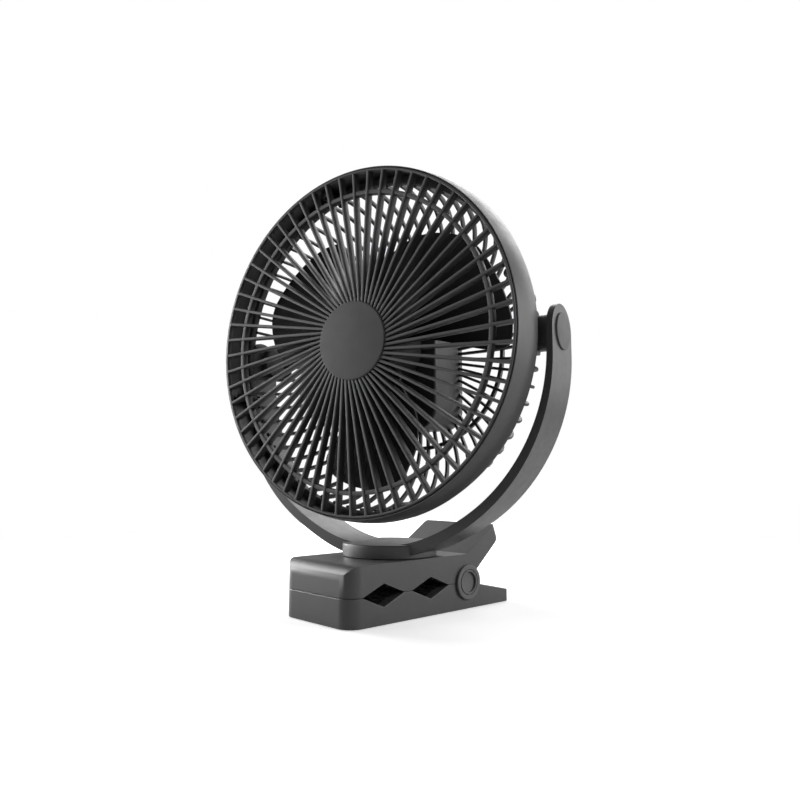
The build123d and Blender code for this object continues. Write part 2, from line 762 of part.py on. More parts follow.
def make_cells():
    cell = Rot(90, 0, 0) * Cylinder(cell_radius, cell_length)
    cap = Rot(90, 0, 0) * Cylinder(cell_cap_radius, cell_cap_height)
    cell = cell + Pos(0, (cell_length + cell_cap_height) / 2, 0) * cap
    cell = Pos(0, 0, cell_middle) * cell
    return [Pos(side * cell_spacing / 2, 0, 0) * cell for side in (-1, 1)]


def make_cell_holder():
    width, height = holder_size
    block = Pos(0, 0, cell_middle - cell_gap - holder_depth / 2) * Box(width, height, holder_depth)
    for side in (-1, 1):
        cradle = Rot(90, 0, 0) * Cylinder(cell_radius + cell_gap, cell_length + 2 * cradle_end_gap)
        block = block - Pos(side * cell_spacing / 2, 0, cell_middle) * cradle
    return block


def on_board(size, place):
    return Pos(*place, board_back - size[2] / 2) * Box(*size)


def make_board():
    width, height = board_size
    board = Pos(0, 0, board_back + board_thickness / 2) * Box(width, height, board_thickness)
    socket_place = (0, socket_end_gap - height / 2)
    fitted = [on_board(chip_size, chip_place), on_board(inductor_size, inductor_place)]
    return board + fitted + [on_board(socket_size, socket_place)]


def make_port():
    width, height = port_size
    mouth_outline = SlotOverall(width - 2 * port_wall, height - 2 * port_wall)
    shell = Pos(0, port_height, port_back) * extrude(SlotOverall(*port_size), board_back - port_back)
    mouth = Pos(0, port_height, port_back) * extrude(mouth_outline, port_depth)
    tongue = extrude(Rectangle(*port_tongue), port_depth)
    tongue = Pos(0, port_height, port_back + port_tongue_sunk) * tongue
    return shell - mouth + (tongue & shell)


def make_switch():
    body = Pos(0, 0, board_back - switch_height / 2) * Box(switch_size, switch_size, switch_height)
    plunger_end = button_flange_front + button_travel + switch_clearance
    return body + z_cylinder(switch_plunger_radius, plunger_end, board_back - switch_height / 2)


def make_button():
    button = z_cylinder(button_radius, cover_back - button_proud, button_flange_front)
    button = chamfer(button.edges().sort_by(Axis.Z)[0], button_edge_break)
    return button + z_cylinder(button_flange_radius, cover_front + button_flange_gap, button_flange_front)


def make_lens():
    return z_cylinder(lens_radius, cover_back, cover_front, 0, lens_height)


def blade_height(share):
    return blade_back + (blade_front - blade_back) * (share + blade_camber * math.sin(math.pi * share))


def blade_sheet():
    sections = []
    inner = rotor_radius - blade_margin
    outer = blade_tip_radius + 2 * blade_margin
    for i in range(blade_sections):
        share = i / (blade_sections - 1)
        angle = math.radians(blade_lead_angle + share * (blade_trail_angle - blade_lead_angle))
        radial = (math.cos(angle), math.sin(angle), 0)
        across = (-math.sin(angle), math.cos(angle), 0)
        plane = Plane(origin=(0, 0, blade_height(share)), x_dir=radial, z_dir=across)
        sections.append(plane * Pos((inner + outer) / 2, 0) * Rectangle(outer - inner, blade_thickness))
    return loft(sections)


def polar(radius, degrees):
    return (radius * math.cos(math.radians(degrees)), radius * math.sin(math.radians(degrees)))


def blade_point(share, degrees):
    return polar(hub_radius + share * (blade_tip_radius - hub_radius), degrees)


def blade_outline():
    root = hub_radius - hub_wall / 2
    tip_start, tip_end = blade_tip_start, blade_tip_end
    lead = Spline(polar(root, 6), blade_point(0.35, 0), blade_point(0.67, -5), blade_point(0.88, -5))
    lead_corner = Spline(
        lead @ 1, blade_point(0.975, 0), blade_point(1, tip_start),
        tangents=(lead % 1, polar(1, tip_start + 90)))
    tip = ThreePointArc(
        blade_point(1, tip_start), blade_point(1, (tip_start + tip_end) / 2), blade_point(1, tip_end))
    trail = Spline(
        tip @ 1, blade_point(0.95, 43.5), blade_point(0.87, 50.5), blade_point(0.78, 57),
        blade_point(0.66, 63.5), blade_point(0.44, 71), blade_point(0.2, 77), polar(root, 81),
        tangents=(polar(1, tip_end + 90), polar(1, 276)))
    return make_face([lead, lead_corner, tip, trail, Line(trail @ 1, lead @ 0)])


def make_impeller():
    low = hub_back - blade_margin
    blade = blade_sheet() & Pos(0, 0, low) * extrude(blade_outline(), hub_front + blade_margin - low)
    hub = z_cylinder(hub_radius, hub_back, hub_front)
    hub = fillet(hub.edges().sort_by(Axis.Z)[-1], hub_edge_round)
    impeller = hub + [Rot(0, 0, i * 360 / blade_count) * blade for i in range(blade_count)]
    impeller = impeller - z_cylinder(rotor_radius, low, rotor_front)
    return impeller - z_cylinder(shaft_radius, hub_back, hub_front)


def make_rotor_cup():
    can = z_cylinder(rotor_radius, rotor_back, rotor_front)
    can = can - z_cylinder(rotor_radius - rotor_wall, rotor_back, rotor_front - rotor_wall)
    neck = z_cylinder(shaft_radius + rotor_neck_wall, rotor_front - rotor_neck_length, rotor_front)
    return can + neck - z_cylinder(shaft_radius, rotor_back, rotor_front)


def make_magnets():
    outer = rotor_radius - rotor_wall
    back = stator_back - magnet_overhang
    return tube(outer, outer - magnet_thickness, back, back + magnet_length)


def make_shaft():
    return z_cylinder(shaft_radius, housing_front + shaft_end_gap, hub_front + shaft_in_nut)


def make_hub_nut():
    hexagon = RegularPolygon(hub_nut_radius, 6) - Circle(shaft_radius)
    return Pos(0, 0, hub_front) * extrude(hexagon, hub_nut_height)


def stator_slot_angles():
    return [i * 360 / stator_slots for i in range(stator_slots)]


def make_stator():
    core = tube(stator_radius, motor_tube_radius, stator_back, stator_front)
    length = stator_front - stator_back
    height = (stator_back + stator_front) / 2
    slot = Pos(slot_middle, 0, height) * Box(slot_depth, slot_width, length)
    mouth = Pos(stator_radius, 0, height) * Box(2 * tooth_tip + 1, slot_mouth, length)
    return core - [Rot(0, 0, angle) * (slot + mouth) for angle in stator_slot_angles()]


def make_coils():
    length = stator_front - stator_back
    height = (stator_back + stator_front) / 2
    reach = slot_depth - coil_end_room
    side = Box(reach, slot_width - coil_side_room, length)
    turn = Box(reach, slot_width, coil_thickness)
    turn_height = (length + coil_thickness) / 2
    coil = side + Pos(0, 0, turn_height) * turn + Pos(0, 0, -turn_height) * turn
    return [Rot(0, 0, angle) * Pos(slot_middle, 0, height) * coil for angle in stator_slot_angles()]


def make_motor_mount():
    flange = z_cylinder(motor_flange_radius, housing_front, housing_front + motor_flange_thickness)
    mount = flange + z_cylinder(motor_tube_radius, housing_front, motor_tube_front)
    mount = mount - z_cylinder(bearing_radius, housing_front, motor_tube_front)
    holes = [z_cylinder(motor_screw_radius, housing_front, 0, x, y) for x, y in motor_screw_places()]
    return mount - holes


def make_bearings():
    bearing = tube(bearing_radius, shaft_radius + running_clearance, 0, bearing_length)
    starts = (housing_front + bearing_inset, motor_tube_front - bearing_length)
    return [Pos(0, 0, start) * bearing for start in starts]


def make_motor_screws():
    seat = housing_front + motor_flange_thickness
    head = z_cylinder(motor_screw_head_radius, seat, seat + motor_screw_head_height)
    screw = head + z_cylinder(motor_screw_radius, seat - motor_screw_length, seat)
    return [Pos(x, y, 0) * screw for x, y in motor_screw_places()]


def save(name, shape, frame=Location()):
    pieces = shape if isinstance(shape, list) else [shape]
    solids = [frame * solid for piece in pieces for solid in piece.solids()]
    export_step(solids[0] if len(solids) == 1 else Compound(children=solids), f"parts/{name}.step")


save("lower_jaw", make_lower_jaw())
save("base_pad", make_base_pad())
save("lower_grip_pad", grip_solid(-1) + grip_ridges(-1))
save("hinge_pin", across_hinge(hinge_pin_radius))
save("hinge_caps", both_sides(make_hinge_cap()))
save("clip_spring", make_spring())
save("upper_jaw", make_upper_jaw())
save("upper_grip_pad", grip_solid(1) + grip_ridges(1))
save("swivel_ring", make_swivel_ring())

save("yoke", make_yoke(), yoke_frame)
save("swivel_screw", make_swivel_screw(), yoke_frame)
save("swivel_washer", make_swivel_washer(), yoke_frame)
save("pivot_washers", both_sides(make_pivot_washer()), yoke_frame)
save("pivot_caps", both_sides(make_pivot_cap()), yoke_frame)

save("pivot_screws", both_sides(make_pivot_screw()), head_frame)
save("front_grille", make_front_grille(), head_frame)
save("front_cap", make_front_cap(), head_frame)
save("shroud", make_shroud(), head_frame)
save("rear_grille", make_rear_grille(), head_frame)
save("rim_screws", make_rim_screws(), head_frame)
save("rear_cover", make_rear_cover(), head_frame)
save("cover_screws", make_cover_screws(), head_frame)
save("battery_cells", make_cells(), head_frame)
save("cell_holder", make_cell_holder(), head_frame)
save("control_board", make_board(), head_frame)
save("charging_port", make_port(), head_frame)
save("button_switch", make_switch(), head_frame)
save("indicator_lens", make_lens(), head_frame)
save("power_button", make_button(), head_frame)
save("motor_mount", make_motor_mount(), head_frame)
save("motor_screws", make_motor_screws(), head_frame)
save("stator_core", make_stator(), head_frame)
save("motor_coils", make_coils(), head_frame)
save("motor_bearings", make_bearings(), head_frame)

save("impeller", make_impeller(), head_frame)
save("rotor_cup", make_rotor_cup(), head_frame)
save("rotor_magnets", make_magnets(), head_frame)
save("motor_shaft", make_shaft(), head_frame)
save("hub_nut", make_hub_nut(), head_frame)
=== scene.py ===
import bpy
import bmesh
import json
import math
from mathutils import Matrix, Vector

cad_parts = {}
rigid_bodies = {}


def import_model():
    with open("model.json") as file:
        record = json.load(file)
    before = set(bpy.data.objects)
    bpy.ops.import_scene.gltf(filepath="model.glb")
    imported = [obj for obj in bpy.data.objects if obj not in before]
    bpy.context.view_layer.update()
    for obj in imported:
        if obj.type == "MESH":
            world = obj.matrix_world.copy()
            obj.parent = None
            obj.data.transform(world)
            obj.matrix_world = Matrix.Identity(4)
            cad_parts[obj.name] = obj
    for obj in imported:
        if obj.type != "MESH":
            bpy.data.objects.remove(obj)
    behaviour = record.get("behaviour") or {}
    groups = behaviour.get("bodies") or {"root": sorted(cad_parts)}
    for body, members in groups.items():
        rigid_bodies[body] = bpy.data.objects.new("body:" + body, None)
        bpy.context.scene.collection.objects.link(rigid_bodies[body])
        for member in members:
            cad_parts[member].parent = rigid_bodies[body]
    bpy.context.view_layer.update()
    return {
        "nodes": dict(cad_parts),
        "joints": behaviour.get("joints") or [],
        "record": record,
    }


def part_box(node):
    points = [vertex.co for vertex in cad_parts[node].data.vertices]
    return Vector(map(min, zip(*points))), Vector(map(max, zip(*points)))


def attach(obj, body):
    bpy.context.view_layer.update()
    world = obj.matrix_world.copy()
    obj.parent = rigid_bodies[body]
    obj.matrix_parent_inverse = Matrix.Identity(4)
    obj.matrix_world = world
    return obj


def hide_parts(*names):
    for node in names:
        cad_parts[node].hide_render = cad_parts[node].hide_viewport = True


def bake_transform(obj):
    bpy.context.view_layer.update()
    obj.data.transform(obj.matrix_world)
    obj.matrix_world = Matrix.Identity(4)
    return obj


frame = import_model()
nodes = frame["nodes"]
print("frame loaded,", len(nodes), "nodes")

# the head's and the yoke's own axes, read from the joints
joints = {j["name"]: j for j in frame["joints"]}
across = Vector(joints["head_tilt"]["axis"]).normalized()
forward = Vector(joints["fan_spin"]["axis"]).normalized()
upward = forward.cross(across)
pivot = Vector(joints["head_tilt"]["pos_m"])
headPlace = Matrix.Translation(pivot) @ Matrix((across, upward, forward)).transposed().to_4x4()
yokePlace = Matrix((across, -forward, upward)).transposed().to_4x4()
clipPlace = Matrix.Identity(4)
alongX = Matrix.Rotation(math.radians(90), 4, "Y")  # turns local z to x

smoothAngle = 35     # degrees, sharper edges than this stay crisp
cadSmoothAngle = 30
weld = 1e-7          # m, points closer than this become one
cadWeld = 2e-6
flatAngle = 0.6      # degrees, flatter edges than this are merged away


def localBox(node, place):
    back = place.inverted()
    points = [back @ v.co for v in nodes[node].data.vertices]
    low = Vector([min(p[i] for p in points) for i in range(3)])
    high = Vector([max(p[i] for p in points) for i in range(3)])
    return low, high


def shadeByAngle(mesh, degrees):
    for face in mesh.polygons:
        face.use_smooth = True
    mesh.set_sharp_from_angle(angle=math.radians(degrees))


def meshObject(name, verts, faces, place, turnOut=True, smoothBelow=smoothAngle):
    mesh = bpy.data.meshes.new(name)
    mesh.from_pydata([tuple(v) for v in verts], [], faces)
    made = bmesh.new()
    made.from_mesh(mesh)
    bmesh.ops.remove_doubles(made, verts=made.verts, dist=weld)
    if turnOut:
        bmesh.ops.recalc_face_normals(made, faces=made.faces)
    made.transform(place)
    made.to_mesh(mesh)
    made.free()
    shadeByAngle(mesh, smoothBelow)
    obj = bpy.data.objects.new(name, mesh)
    bpy.context.scene.collection.objects.link(obj)
    return obj


def asPlainMesh(obj):
    graph = bpy.context.evaluated_depsgraph_get()
    graph.update()
    baked = bpy.data.meshes.new_from_object(obj.evaluated_get(graph), preserve_all_data_layers=True,
                                            depsgraph=graph)
    obj.modifiers.clear()
    old = obj.data
    obj.data = baked
    bpy.data.meshes.remove(old)
    return obj


def joined(name, parts):
    bpy.ops.object.select_all(action="DESELECT")
    for part in parts:
        part.select_set(True)
    bpy.context.view_layer.objects.active = parts[0]
    bpy.ops.object.join()
    whole = bpy.context.view_layer.objects.active
    whole.name = name
    whole.data.name = name
    return whole


def setMaterial(mesh, material):
    mesh.materials.clear()
    mesh.materials.append(material)
    for face in mesh.polygons:
        face.material_index = 0


# gives a piece its body, its finish and the node that it stands for; a blended piece has no single body
def dressed(obj, body, slot, node):
    setMaterial(obj.data, paint[slot])
    if body:
        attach(obj, body)
    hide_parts(node)
    return obj


straightWithin = 1e-3  # rad, a corner this near to straight isn't rounded
longestCut = 0.49      # share of an edge that one rounding may take


# corners of a closed outline, each rounded by its own radius
def roundCorners(corners, steps=4):
    points = []
    for i, (x, y, radius) in enumerate(corners):
        here = Vector((x, y))
        before = Vector(corners[i - 1][:2]) - here
        after = Vector(corners[(i + 1) % len(corners)][:2]) - here
        half = before.angle(after) / 2
        if radius <= 0 or abs(half - math.pi / 2) < straightWithin:
            points.append(here)
            continue
        cut = min(radius / math.tan(half), longestCut * before.length, longestCut * after.length)
        radius = cut * math.tan(half)
        start = here + before.normalized() * cut
        centre = here + (before.normalized() + after.normalized()).normalized() * radius / math.sin(half)
        first = start - centre
        last = here + after.normalized() * cut - centre
        turn = math.atan2(first.x * last.y - first.y * last.x, first.dot(last))
        for k in range(steps + 1):
            points.append(centre + Matrix.Rotation(turn * k / steps, 2) @ first)
    return points


# a closed outline of (radius, height) turned about the local z axis
def lathe(name, outline, place, segments=160, start=0.0, sweep=360.0):
    whole = sweep >= 360
    stations = segments if whole else segments + 1
    count = len(outline)
    verts = []
    for i in range(stations):
        angle = math.radians(start + sweep * i / segments)
        verts += [(max(p[0], 0) * math.cos(angle), max(p[0], 0) * math.sin(angle), p[1]) for p in outline]
    faces = []
    for i in range(segments):
        j = (i + 1) % stations
        for k in range(count):
            m = (k + 1) % count
            if outline[k][0] <= 0 and outline[m][0] <= 0:  # an edge on the axis makes no face
                continue
            faces.append((i * count + k, j * count + k, j * count + m, i * count + m))
    if not whole:
        faces.append(tuple(range(count)))
        faces.append(tuple(segments * count + k for k in range(count)))
    return meshObject(name, verts, faces, place)


# a ring of rectangular section; the order of its edges is inner back, outer back, outer front, inner front
def squareRing(name, radii, heights, edges, segments, steps=3):
    (near, far), (back, front) = radii, heights
    corners = [(near, back), (far, back), (far, front), (near, front)]
    outline = roundCorners([(*corner, edge) for corner, edge in zip(corners, edges)], steps)
    return lathe(name, outline, headPlace, segments)


# a solid disc or stud; the edges are the roundings of its back and its front
def disc(name, radius, heights, edges, place, segments, steps=4):
    (back, front), (backEdge, frontEdge) = heights, edges
    corners = [(0, back, 0), (radius, back, backEdge), (radius, front, frontEdge), (0, front, 0)]
    return lathe(name, roundCorners(corners, steps), place, segments)


# a run of loops with as many points each, skinned into one closed shell
def skin(name, loops, place, smoothBelow=smoothAngle):
    count = len(loops[0])
    verts = [p for loop in loops for p in loop]
    faces = []
    for i in range(len(loops) - 1):
        for k in range(count):
            m = (k + 1) % count
            faces.append((i * count + k, i * count + m, (i + 1) * count + m, (i + 1) * count + k))
    last = (len(loops) - 1) * count
    faces.append(tuple(range(count)))
    faces.append(tuple(last + k for k in range(count)))
    return meshObject(name, verts, faces, place, smoothBelow=smoothBelow)


def addBevel(obj, width, segments, above):
    bevel = obj.modifiers.new("edges", "BEVEL")
    bevel.width = width
    bevel.segments = segments
    bevel.limit_method = "ANGLE"
    bevel.angle_limit = math.radians(above)
    return bevel


# a CAD piece copied, its flat triangles merged, its sharp edges broken as a mould would,
# and cut to the inside of another object if one is given
def softenedCopy(node, name, width, above=32, segments=2, within=None):
    mesh = nodes[node].data.copy()
    made = bmesh.new()
    made.from_mesh(mesh)
    bmesh.ops.remove_doubles(made, verts=made.verts, dist=cadWeld)
    bmesh.ops.dissolve_limit(made, angle_limit=math.radians(flatAngle), verts=made.verts, edges=made.edges)
    made.to_mesh(mesh)
    made.free()
    mesh.materials.clear()
    shadeByAngle(mesh, above)
    obj = bpy.data.objects.new(name, mesh)
    bpy.context.scene.collection.objects.link(obj)
    if within:
        trim = obj.modifiers.new("trim", "BOOLEAN")
        trim.operation = "INTERSECT"
        trim.object = within
        trim.solver = "EXACT"
        asPlainMesh(obj)
        bpy.data.objects.remove(within)
    bevel = addBevel(obj, width, segments, above)
    bevel.use_clamp_overlap = True
    bevel.miter_outer = "MITER_ARC"
    flats = obj.modifiers.new("flats", "WEIGHTED_NORMAL")
    flats.weight = 100  # the largest faces decide the shading, so flat faces look flat
    flats.keep_sharp = True
    return asPlainMesh(obj)


# a Geometry Nodes group, built node by node
class Tree:
    def __init__(self, name, inputs):
        self.group = bpy.data.node_groups.new(name, "GeometryNodeTree")
        face = self.group.interface
        face.new_socket("Geometry", in_out="INPUT", socket_type="NodeSocketGeometry")
        face.new_socket("Geometry", in_out="OUTPUT", socket_type="NodeSocketGeometry")
        self.ids = {}
        for label, kind in inputs.items():
            self.ids[label] = face.new_socket(label, in_out="INPUT", socket_type=kind).identifier
        self.start = self.group.nodes.new("NodeGroupInput")
        self.end = self.group.nodes.new("NodeGroupOutput")

    def node(self, kind, wires=None, **options):
        made = self.group.nodes.new(kind)
        for key, value in options.items():
            setattr(made, key, value)
        for key, value in (wires or {}).items():
            socket = made.inputs[key]
            if isinstance(value, bpy.types.NodeSocket):
                self.group.links.new(value, socket)
            else:
                socket.default_value = value
        return made

    def get(self, label):
        return self.start.outputs[label]

    def finish(self, geometry):
        whole = self.node("GeometryNodeRealizeInstances", {"Geometry": geometry})
        painted = self.node("GeometryNodeSetMaterial", {
            "Geometry": whole.outputs[0], "Material": self.get("Material")})
        self.group.links.new(painted.outputs[0], self.end.inputs[0])

    def run(self, name, source, values, place):
        modifier = source.modifiers.new("made", "NODES")
        modifier.node_group = self.group
        for label, value in values.items():
            modifier[self.ids[label]] = value
        obj = asPlainMesh(source)
        obj.name = name
        obj.data.transform(place)
        shadeByAngle(obj.data, smoothAngle)
        return obj


# bars: sweeps a rounded section along the incoming lines and repeats them round the local z axis
def barTree():
    tree = Tree("bars round an axis", {
        "Count": "NodeSocketInt", "First angle": "NodeSocketFloat", "Width": "NodeSocketFloat",
        "Depth": "NodeSocketFloat", "Edge": "NodeSocketFloat", "Bend": "NodeSocketFloat",
        "Bend steps": "NodeSocketInt", "Material": "NodeSocketMaterial"})
    line = tree.node("GeometryNodeMeshToCurve", {"Mesh": tree.get("Geometry")})
    bent = tree.node("GeometryNodeFilletCurve", {
        "Curve": line.outputs[0], "Count": tree.get("Bend steps"), "Radius": tree.get("Bend")}, mode="POLY")
    aimed = tree.node("GeometryNodeSetCurveNormal", {
        "Curve": bent.outputs[0], "Normal": (0, 1, 0)}, mode="FREE")
    section = tree.node("GeometryNodeCurvePrimitiveQuadrilateral", {
        "Width": tree.get("Width"), "Height": tree.get("Depth")})
    rounded = tree.node("GeometryNodeFilletCurve", {
        "Curve": section.outputs[0], "Count": 2, "Radius": tree.get("Edge")}, mode="POLY")
    bar = tree.node("GeometryNodeCurveToMesh", {
        "Curve": aimed.outputs[0], "Profile Curve": rounded.outputs[0], "Fill Caps": True})
    places = tree.node("GeometryNodePoints", {"Count": tree.get("Count")})
    index = tree.node("GeometryNodeInputIndex")
    step = tree.node("ShaderNodeMath", {0: 2 * math.pi, 1: tree.get("Count")}, operation="DIVIDE")
    angle = tree.node("ShaderNodeMath", {
        0: index.outputs[0], 1: step.outputs[0], 2: tree.get("First angle")}, operation="MULTIPLY_ADD")
    turn = tree.node("ShaderNodeCombineXYZ", {"Z": angle.outputs[0]})
    spread = tree.node("GeometryNodeInstanceOnPoints", {
        "Points": places.outputs[0], "Instance": bar.outputs[0], "Rotation": turn.outputs[0]})
    tree.finish(spread.outputs[0])
    return tree


# fixings: sets the given object on every incoming vertex
def fixingTree():
    tree = Tree("fixings on marks", {"Fixing": "NodeSocketObject", "Material": "NodeSocketMaterial"})
    fixing = tree.node("GeometryNodeObjectInfo", {"Object": tree.get("Fixing"), "As Instance": True})
    marks = tree.node("GeometryNodeMeshToPoints", {"Mesh": tree.get("Geometry")})
    spread = tree.node("GeometryNodeInstanceOnPoints", {
        "Points": marks.outputs[0], "Instance": fixing.outputs["Geometry"]})
    tree.finish(spread.outputs[0])
    return tree


def marksObject(points, edges=()):
    mesh = bpy.data.meshes.new("marks")
    mesh.from_pydata(points, edges, [])
    obj = bpy.data.objects.new("marks", mesh)
    bpy.context.scene.collection.objects.link(obj)
    return obj


bars = barTree()
fixings = fixingTree()


# two places at one centre, whose local z points to its right and to its left
def bothSides(centre):
    return [centre @ Matrix.Rotation(math.radians(turn), 4, "Z") @ alongX for turn in (0, 180)]


# points spread evenly round the local z axis, at one height
def circleMarks(radius, count, firstAngle, height):
    angles = [math.radians(firstAngle + i * 360 / count) for i in range(count)]
    return [(radius * math.cos(a), radius * math.sin(a), height) for a in angles]


# a finish's empty material, with its node tree and its shader
def newMaterial(name):
    material = bpy.data.materials.new(name)
    material.use_nodes = True
    tree = material.node_tree
    return material, tree, tree.nodes["Principled BSDF"]


noiseRange = (0.3, 0.7)  # the part of a noise's values that is spread over a finish
noiseDetail = {"color": 3.0, "roughness": 5.0, "grain": 4.0}
roughPatch = 0.4         # size of the patches of roughness, against the blotches of color


def noiseOn(tree, size, detail, stretch=(1, 1, 1)):
    where = tree.nodes.new("ShaderNodeTexCoord")
    mapping = tree.nodes.new("ShaderNodeMapping")
    mapping.inputs["Scale"].default_value = stretch
    noise = tree.nodes.new("ShaderNodeTexNoise")
    noise.inputs["Scale"].default_value = 1 / size
    noise.inputs["Detail"].default_value = detail
    tree.links.new(where.outputs["Object"], mapping.inputs["Vector"])
    tree.links.new(mapping.outputs["Vector"], noise.inputs["Vector"])
    return noise.outputs["Fac"]


def spreadTo(tree, value, low, high):
    fit = tree.nodes.new("ShaderNodeMapRange")
    for socket, level in zip(("From Min", "From Max", "To Min", "To Max"), (*noiseRange, low, high)):
        fit.inputs[socket].default_value = level
    tree.links.new(value, fit.inputs["Value"])
    return fit.outputs["Result"]


def shadeBetween(tree, value, dark, light):
    ramp = tree.nodes.new("ShaderNodeValToRGB")
    for stop, position, color in zip(ramp.color_ramp.elements, noiseRange, (dark, light)):
        stop.position = position
        stop.color = (*color, 1)
    tree.links.new(value, ramp.inputs["Fac"])
    return ramp.outputs["Color"]


def moulded(name, finish):
    material, tree, shader = newMaterial(name)
    color = finish["color"]
    dark = [c * (1 - finish["mottle"]) for c in color]
    light = [c * (1 + finish["mottle"]) for c in color]
    blotches = noiseOn(tree, finish["blotch"], noiseDetail["color"])
    tree.links.new(shadeBetween(tree, blotches, dark, light), shader.inputs["Base Color"])
    patches = noiseOn(tree, finish["blotch"] * roughPatch, noiseDetail["roughness"])
    tree.links.new(spreadTo(tree, patches, *finish["roughness"]), shader.inputs["Roughness"])
    shader.inputs["Specular IOR Level"].default_value = finish["gloss"]
    shader.inputs["Metallic"].default_value = finish.get("metal", 0.0)
    bump = tree.nodes.new("ShaderNodeBump")
    bump.inputs["Strength"].default_value = finish["grain"]
    bump.inputs["Distance"].default_value = finish["grainDepth"]
    grain = noiseOn(tree, finish["grainSize"], noiseDetail["grain"], finish.get("stretch", (1, 1, 1)))
    tree.links.new(grain, bump.inputs["Height"])
    tree.links.new(bump.outputs["Normal"], shader.inputs["Normal"])
    return material


casingFinish = {
    "color": (0.07, 0.07, 0.072), "mottle": 0.05, "blotch": 0.012, "roughness": (0.34, 0.42), "gloss": 0.5,
    "grain": 0.35, "grainDepth": 0.00002, "grainSize": 0.00045}
finishes = {
    "casing": casingFinish,
    # the grille is the casing's plastic made a little lighter: painted light, standing in for light on the
    # ribs
    "grille": {**casingFinish, "color": (0.084, 0.084, 0.086), "roughness": (0.4, 0.48), "gloss": 0.45},
    "cap_face": {**casingFinish, "color": (0.132, 0.132, 0.135), "roughness": (0.6, 0.7), "gloss": 0.3},
    "blade_plastic": {**casingFinish, "color": (0.012, 0.012, 0.013), "roughness": (0.45, 0.55),
                      "gloss": 0.3},
    # this darker finish is also laid on the shroud band's inward faces as painted shade
    "inner_plastic": {**casingFinish, "color": (0.018, 0.018, 0.018), "gloss": 0.3},
    "button_face": {**casingFinish, "color": (0.045, 0.045, 0.047), "roughness": (0.3, 0.36)},
    # near-black: the rubber's own dark tone, deepened as painted shade for the grips sunk into the clip's
    # diamonds
    "soft_rubber": {**casingFinish, "color": (0.006, 0.006, 0.006), "roughness": (0.7, 0.85), "gloss": 0.2,
                    "grain": 0.7, "grainDepth": 0.00005, "grainSize": 0.0007},
    "slip_ring": {**casingFinish, "color": (0.02, 0.02, 0.02), "roughness": (0.3, 0.4)},
    "black_screw": {**casingFinish, "color": (0.03, 0.03, 0.032), "roughness": (0.3, 0.42), "metal": 0.85,
                    "blotch": 0.002},
    "steel": {**casingFinish, "color": (0.5, 0.5, 0.51), "roughness": (0.25, 0.38), "metal": 1.0,
              "grainSize": 0.0003, "stretch": (1, 1, 6)},
    "spring_steel": {**casingFinish, "color": (0.33, 0.33, 0.34), "roughness": (0.28, 0.4), "metal": 1.0},
    "rotor_steel": {**casingFinish, "color": (0.4, 0.4, 0.41), "roughness": (0.3, 0.4), "metal": 1.0},
    "stator_steel": {**casingFinish, "color": (0.28, 0.28, 0.29), "roughness": (0.4, 0.5), "metal": 0.9,
                     "grainSize": 0.0004, "stretch": (1, 8, 1), "grain": 0.8},
    "copper_wire": {**casingFinish, "color": (0.55, 0.2, 0.07), "roughness": (0.25, 0.4), "metal": 0.9,
                    "grainSize": 0.0006, "grain": 0.9},
    "magnet": {**casingFinish, "color": (0.09, 0.09, 0.095), "roughness": (0.45, 0.6), "metal": 0.6},
    "cell_wrap": {**casingFinish, "color": (0.02, 0.09, 0.16), "roughness": (0.3, 0.38)},
    "circuit_board": {**casingFinish, "color": (0.008, 0.06, 0.02), "roughness": (0.25, 0.4),
                      "mottle": 0.25, "blotch": 0.003},
    "port_shell": {**casingFinish, "color": (0.45, 0.45, 0.46), "roughness": (0.2, 0.3), "metal": 1.0},
    "lens": {**casingFinish, "color": (0.6, 0.62, 0.64), "roughness": (0.15, 0.25), "gloss": 0.5},
}
paint = {name: moulded(name, finish) for name, finish in finishes.items()}

slotOf = {s["node"]: s["material_slot"] for s in frame["record"]["subparts"]}
for nodeName, nodeObject in nodes.items():
    setMaterial(nodeObject.data, paint[slotOf[nodeName]])
    shadeByAngle(nodeObject.data, cadSmoothAngle)
print("finishes on", len(nodes), "nodes")


# front grille: ribs that pass beside the axis so that they swirl, a rim, an inner ring and a hub
frontGrille = {
    "ribCount": 60, "firstAngle": 3.3, "ribOffset": 0.00575, "ribWidth": 0.0017, "ribDepth": 0.005,
    "ribEdge": 0.00035, "ribStart": 0.0205, "ribEnd": 0.1004,
    "rimWidth": 0.0015, "rimDepth": 0.003, "rimEdges": (0.0002, 0.00024, 0.00064, 0.0004),
    "rimSegments": 240, "ringRadius": 0.0876, "ringWidth": 0.0025, "ringDepth": 0.004, "ringSunk": 0.0005,
    "ringEdge": 0.0003, "ringSegments": 200, "hubRadius": 0.022, "hubBack": 0.035,
    "hubEdges": (0.0006, 0.0003), "hubSegments": 96}


def makeFrontGrille(s):
    high = localBox("front_grille", headPlace)[1]
    front, rimRadius = high.z, high.x
    middle = front - s["ribDepth"] / 2
    reach = [math.sqrt(r * r - s["ribOffset"] ** 2) for r in (s["ribStart"], s["ribEnd"])]
    line = marksObject([(reach[0], -s["ribOffset"], middle), (reach[1], -s["ribOffset"], middle)], [(0, 1)])
    ribs = bars.run("ribs", line, {
        "Count": s["ribCount"], "First angle": math.radians(s["firstAngle"]), "Width": s["ribWidth"],
        "Depth": s["ribDepth"], "Edge": s["ribEdge"], "Bend": 0.0, "Bend steps": 1,
        "Material": paint["grille"]}, headPlace)
    rim = squareRing("rim", (rimRadius - s["rimWidth"], rimRadius), (front - s["rimDepth"], front),
                     s["rimEdges"], s["rimSegments"], 4)
    top, half = front - s["ringSunk"], s["ringWidth"] / 2
    ring = squareRing("ring", (s["ringRadius"] - half, s["ringRadius"] + half), (top - s["ringDepth"], top),
                      [s["ringEdge"]] * 4, s["ringSegments"])
    capBack = localBox("front_cap", headPlace)[0].z
    hub = disc("hub", s["hubRadius"], (s["hubBack"], capBack), s["hubEdges"], headPlace, s["hubSegments"])
    return dressed(joined("frontGrille", [ribs, rim, ring, hub]), "head", "grille", "front_grille")


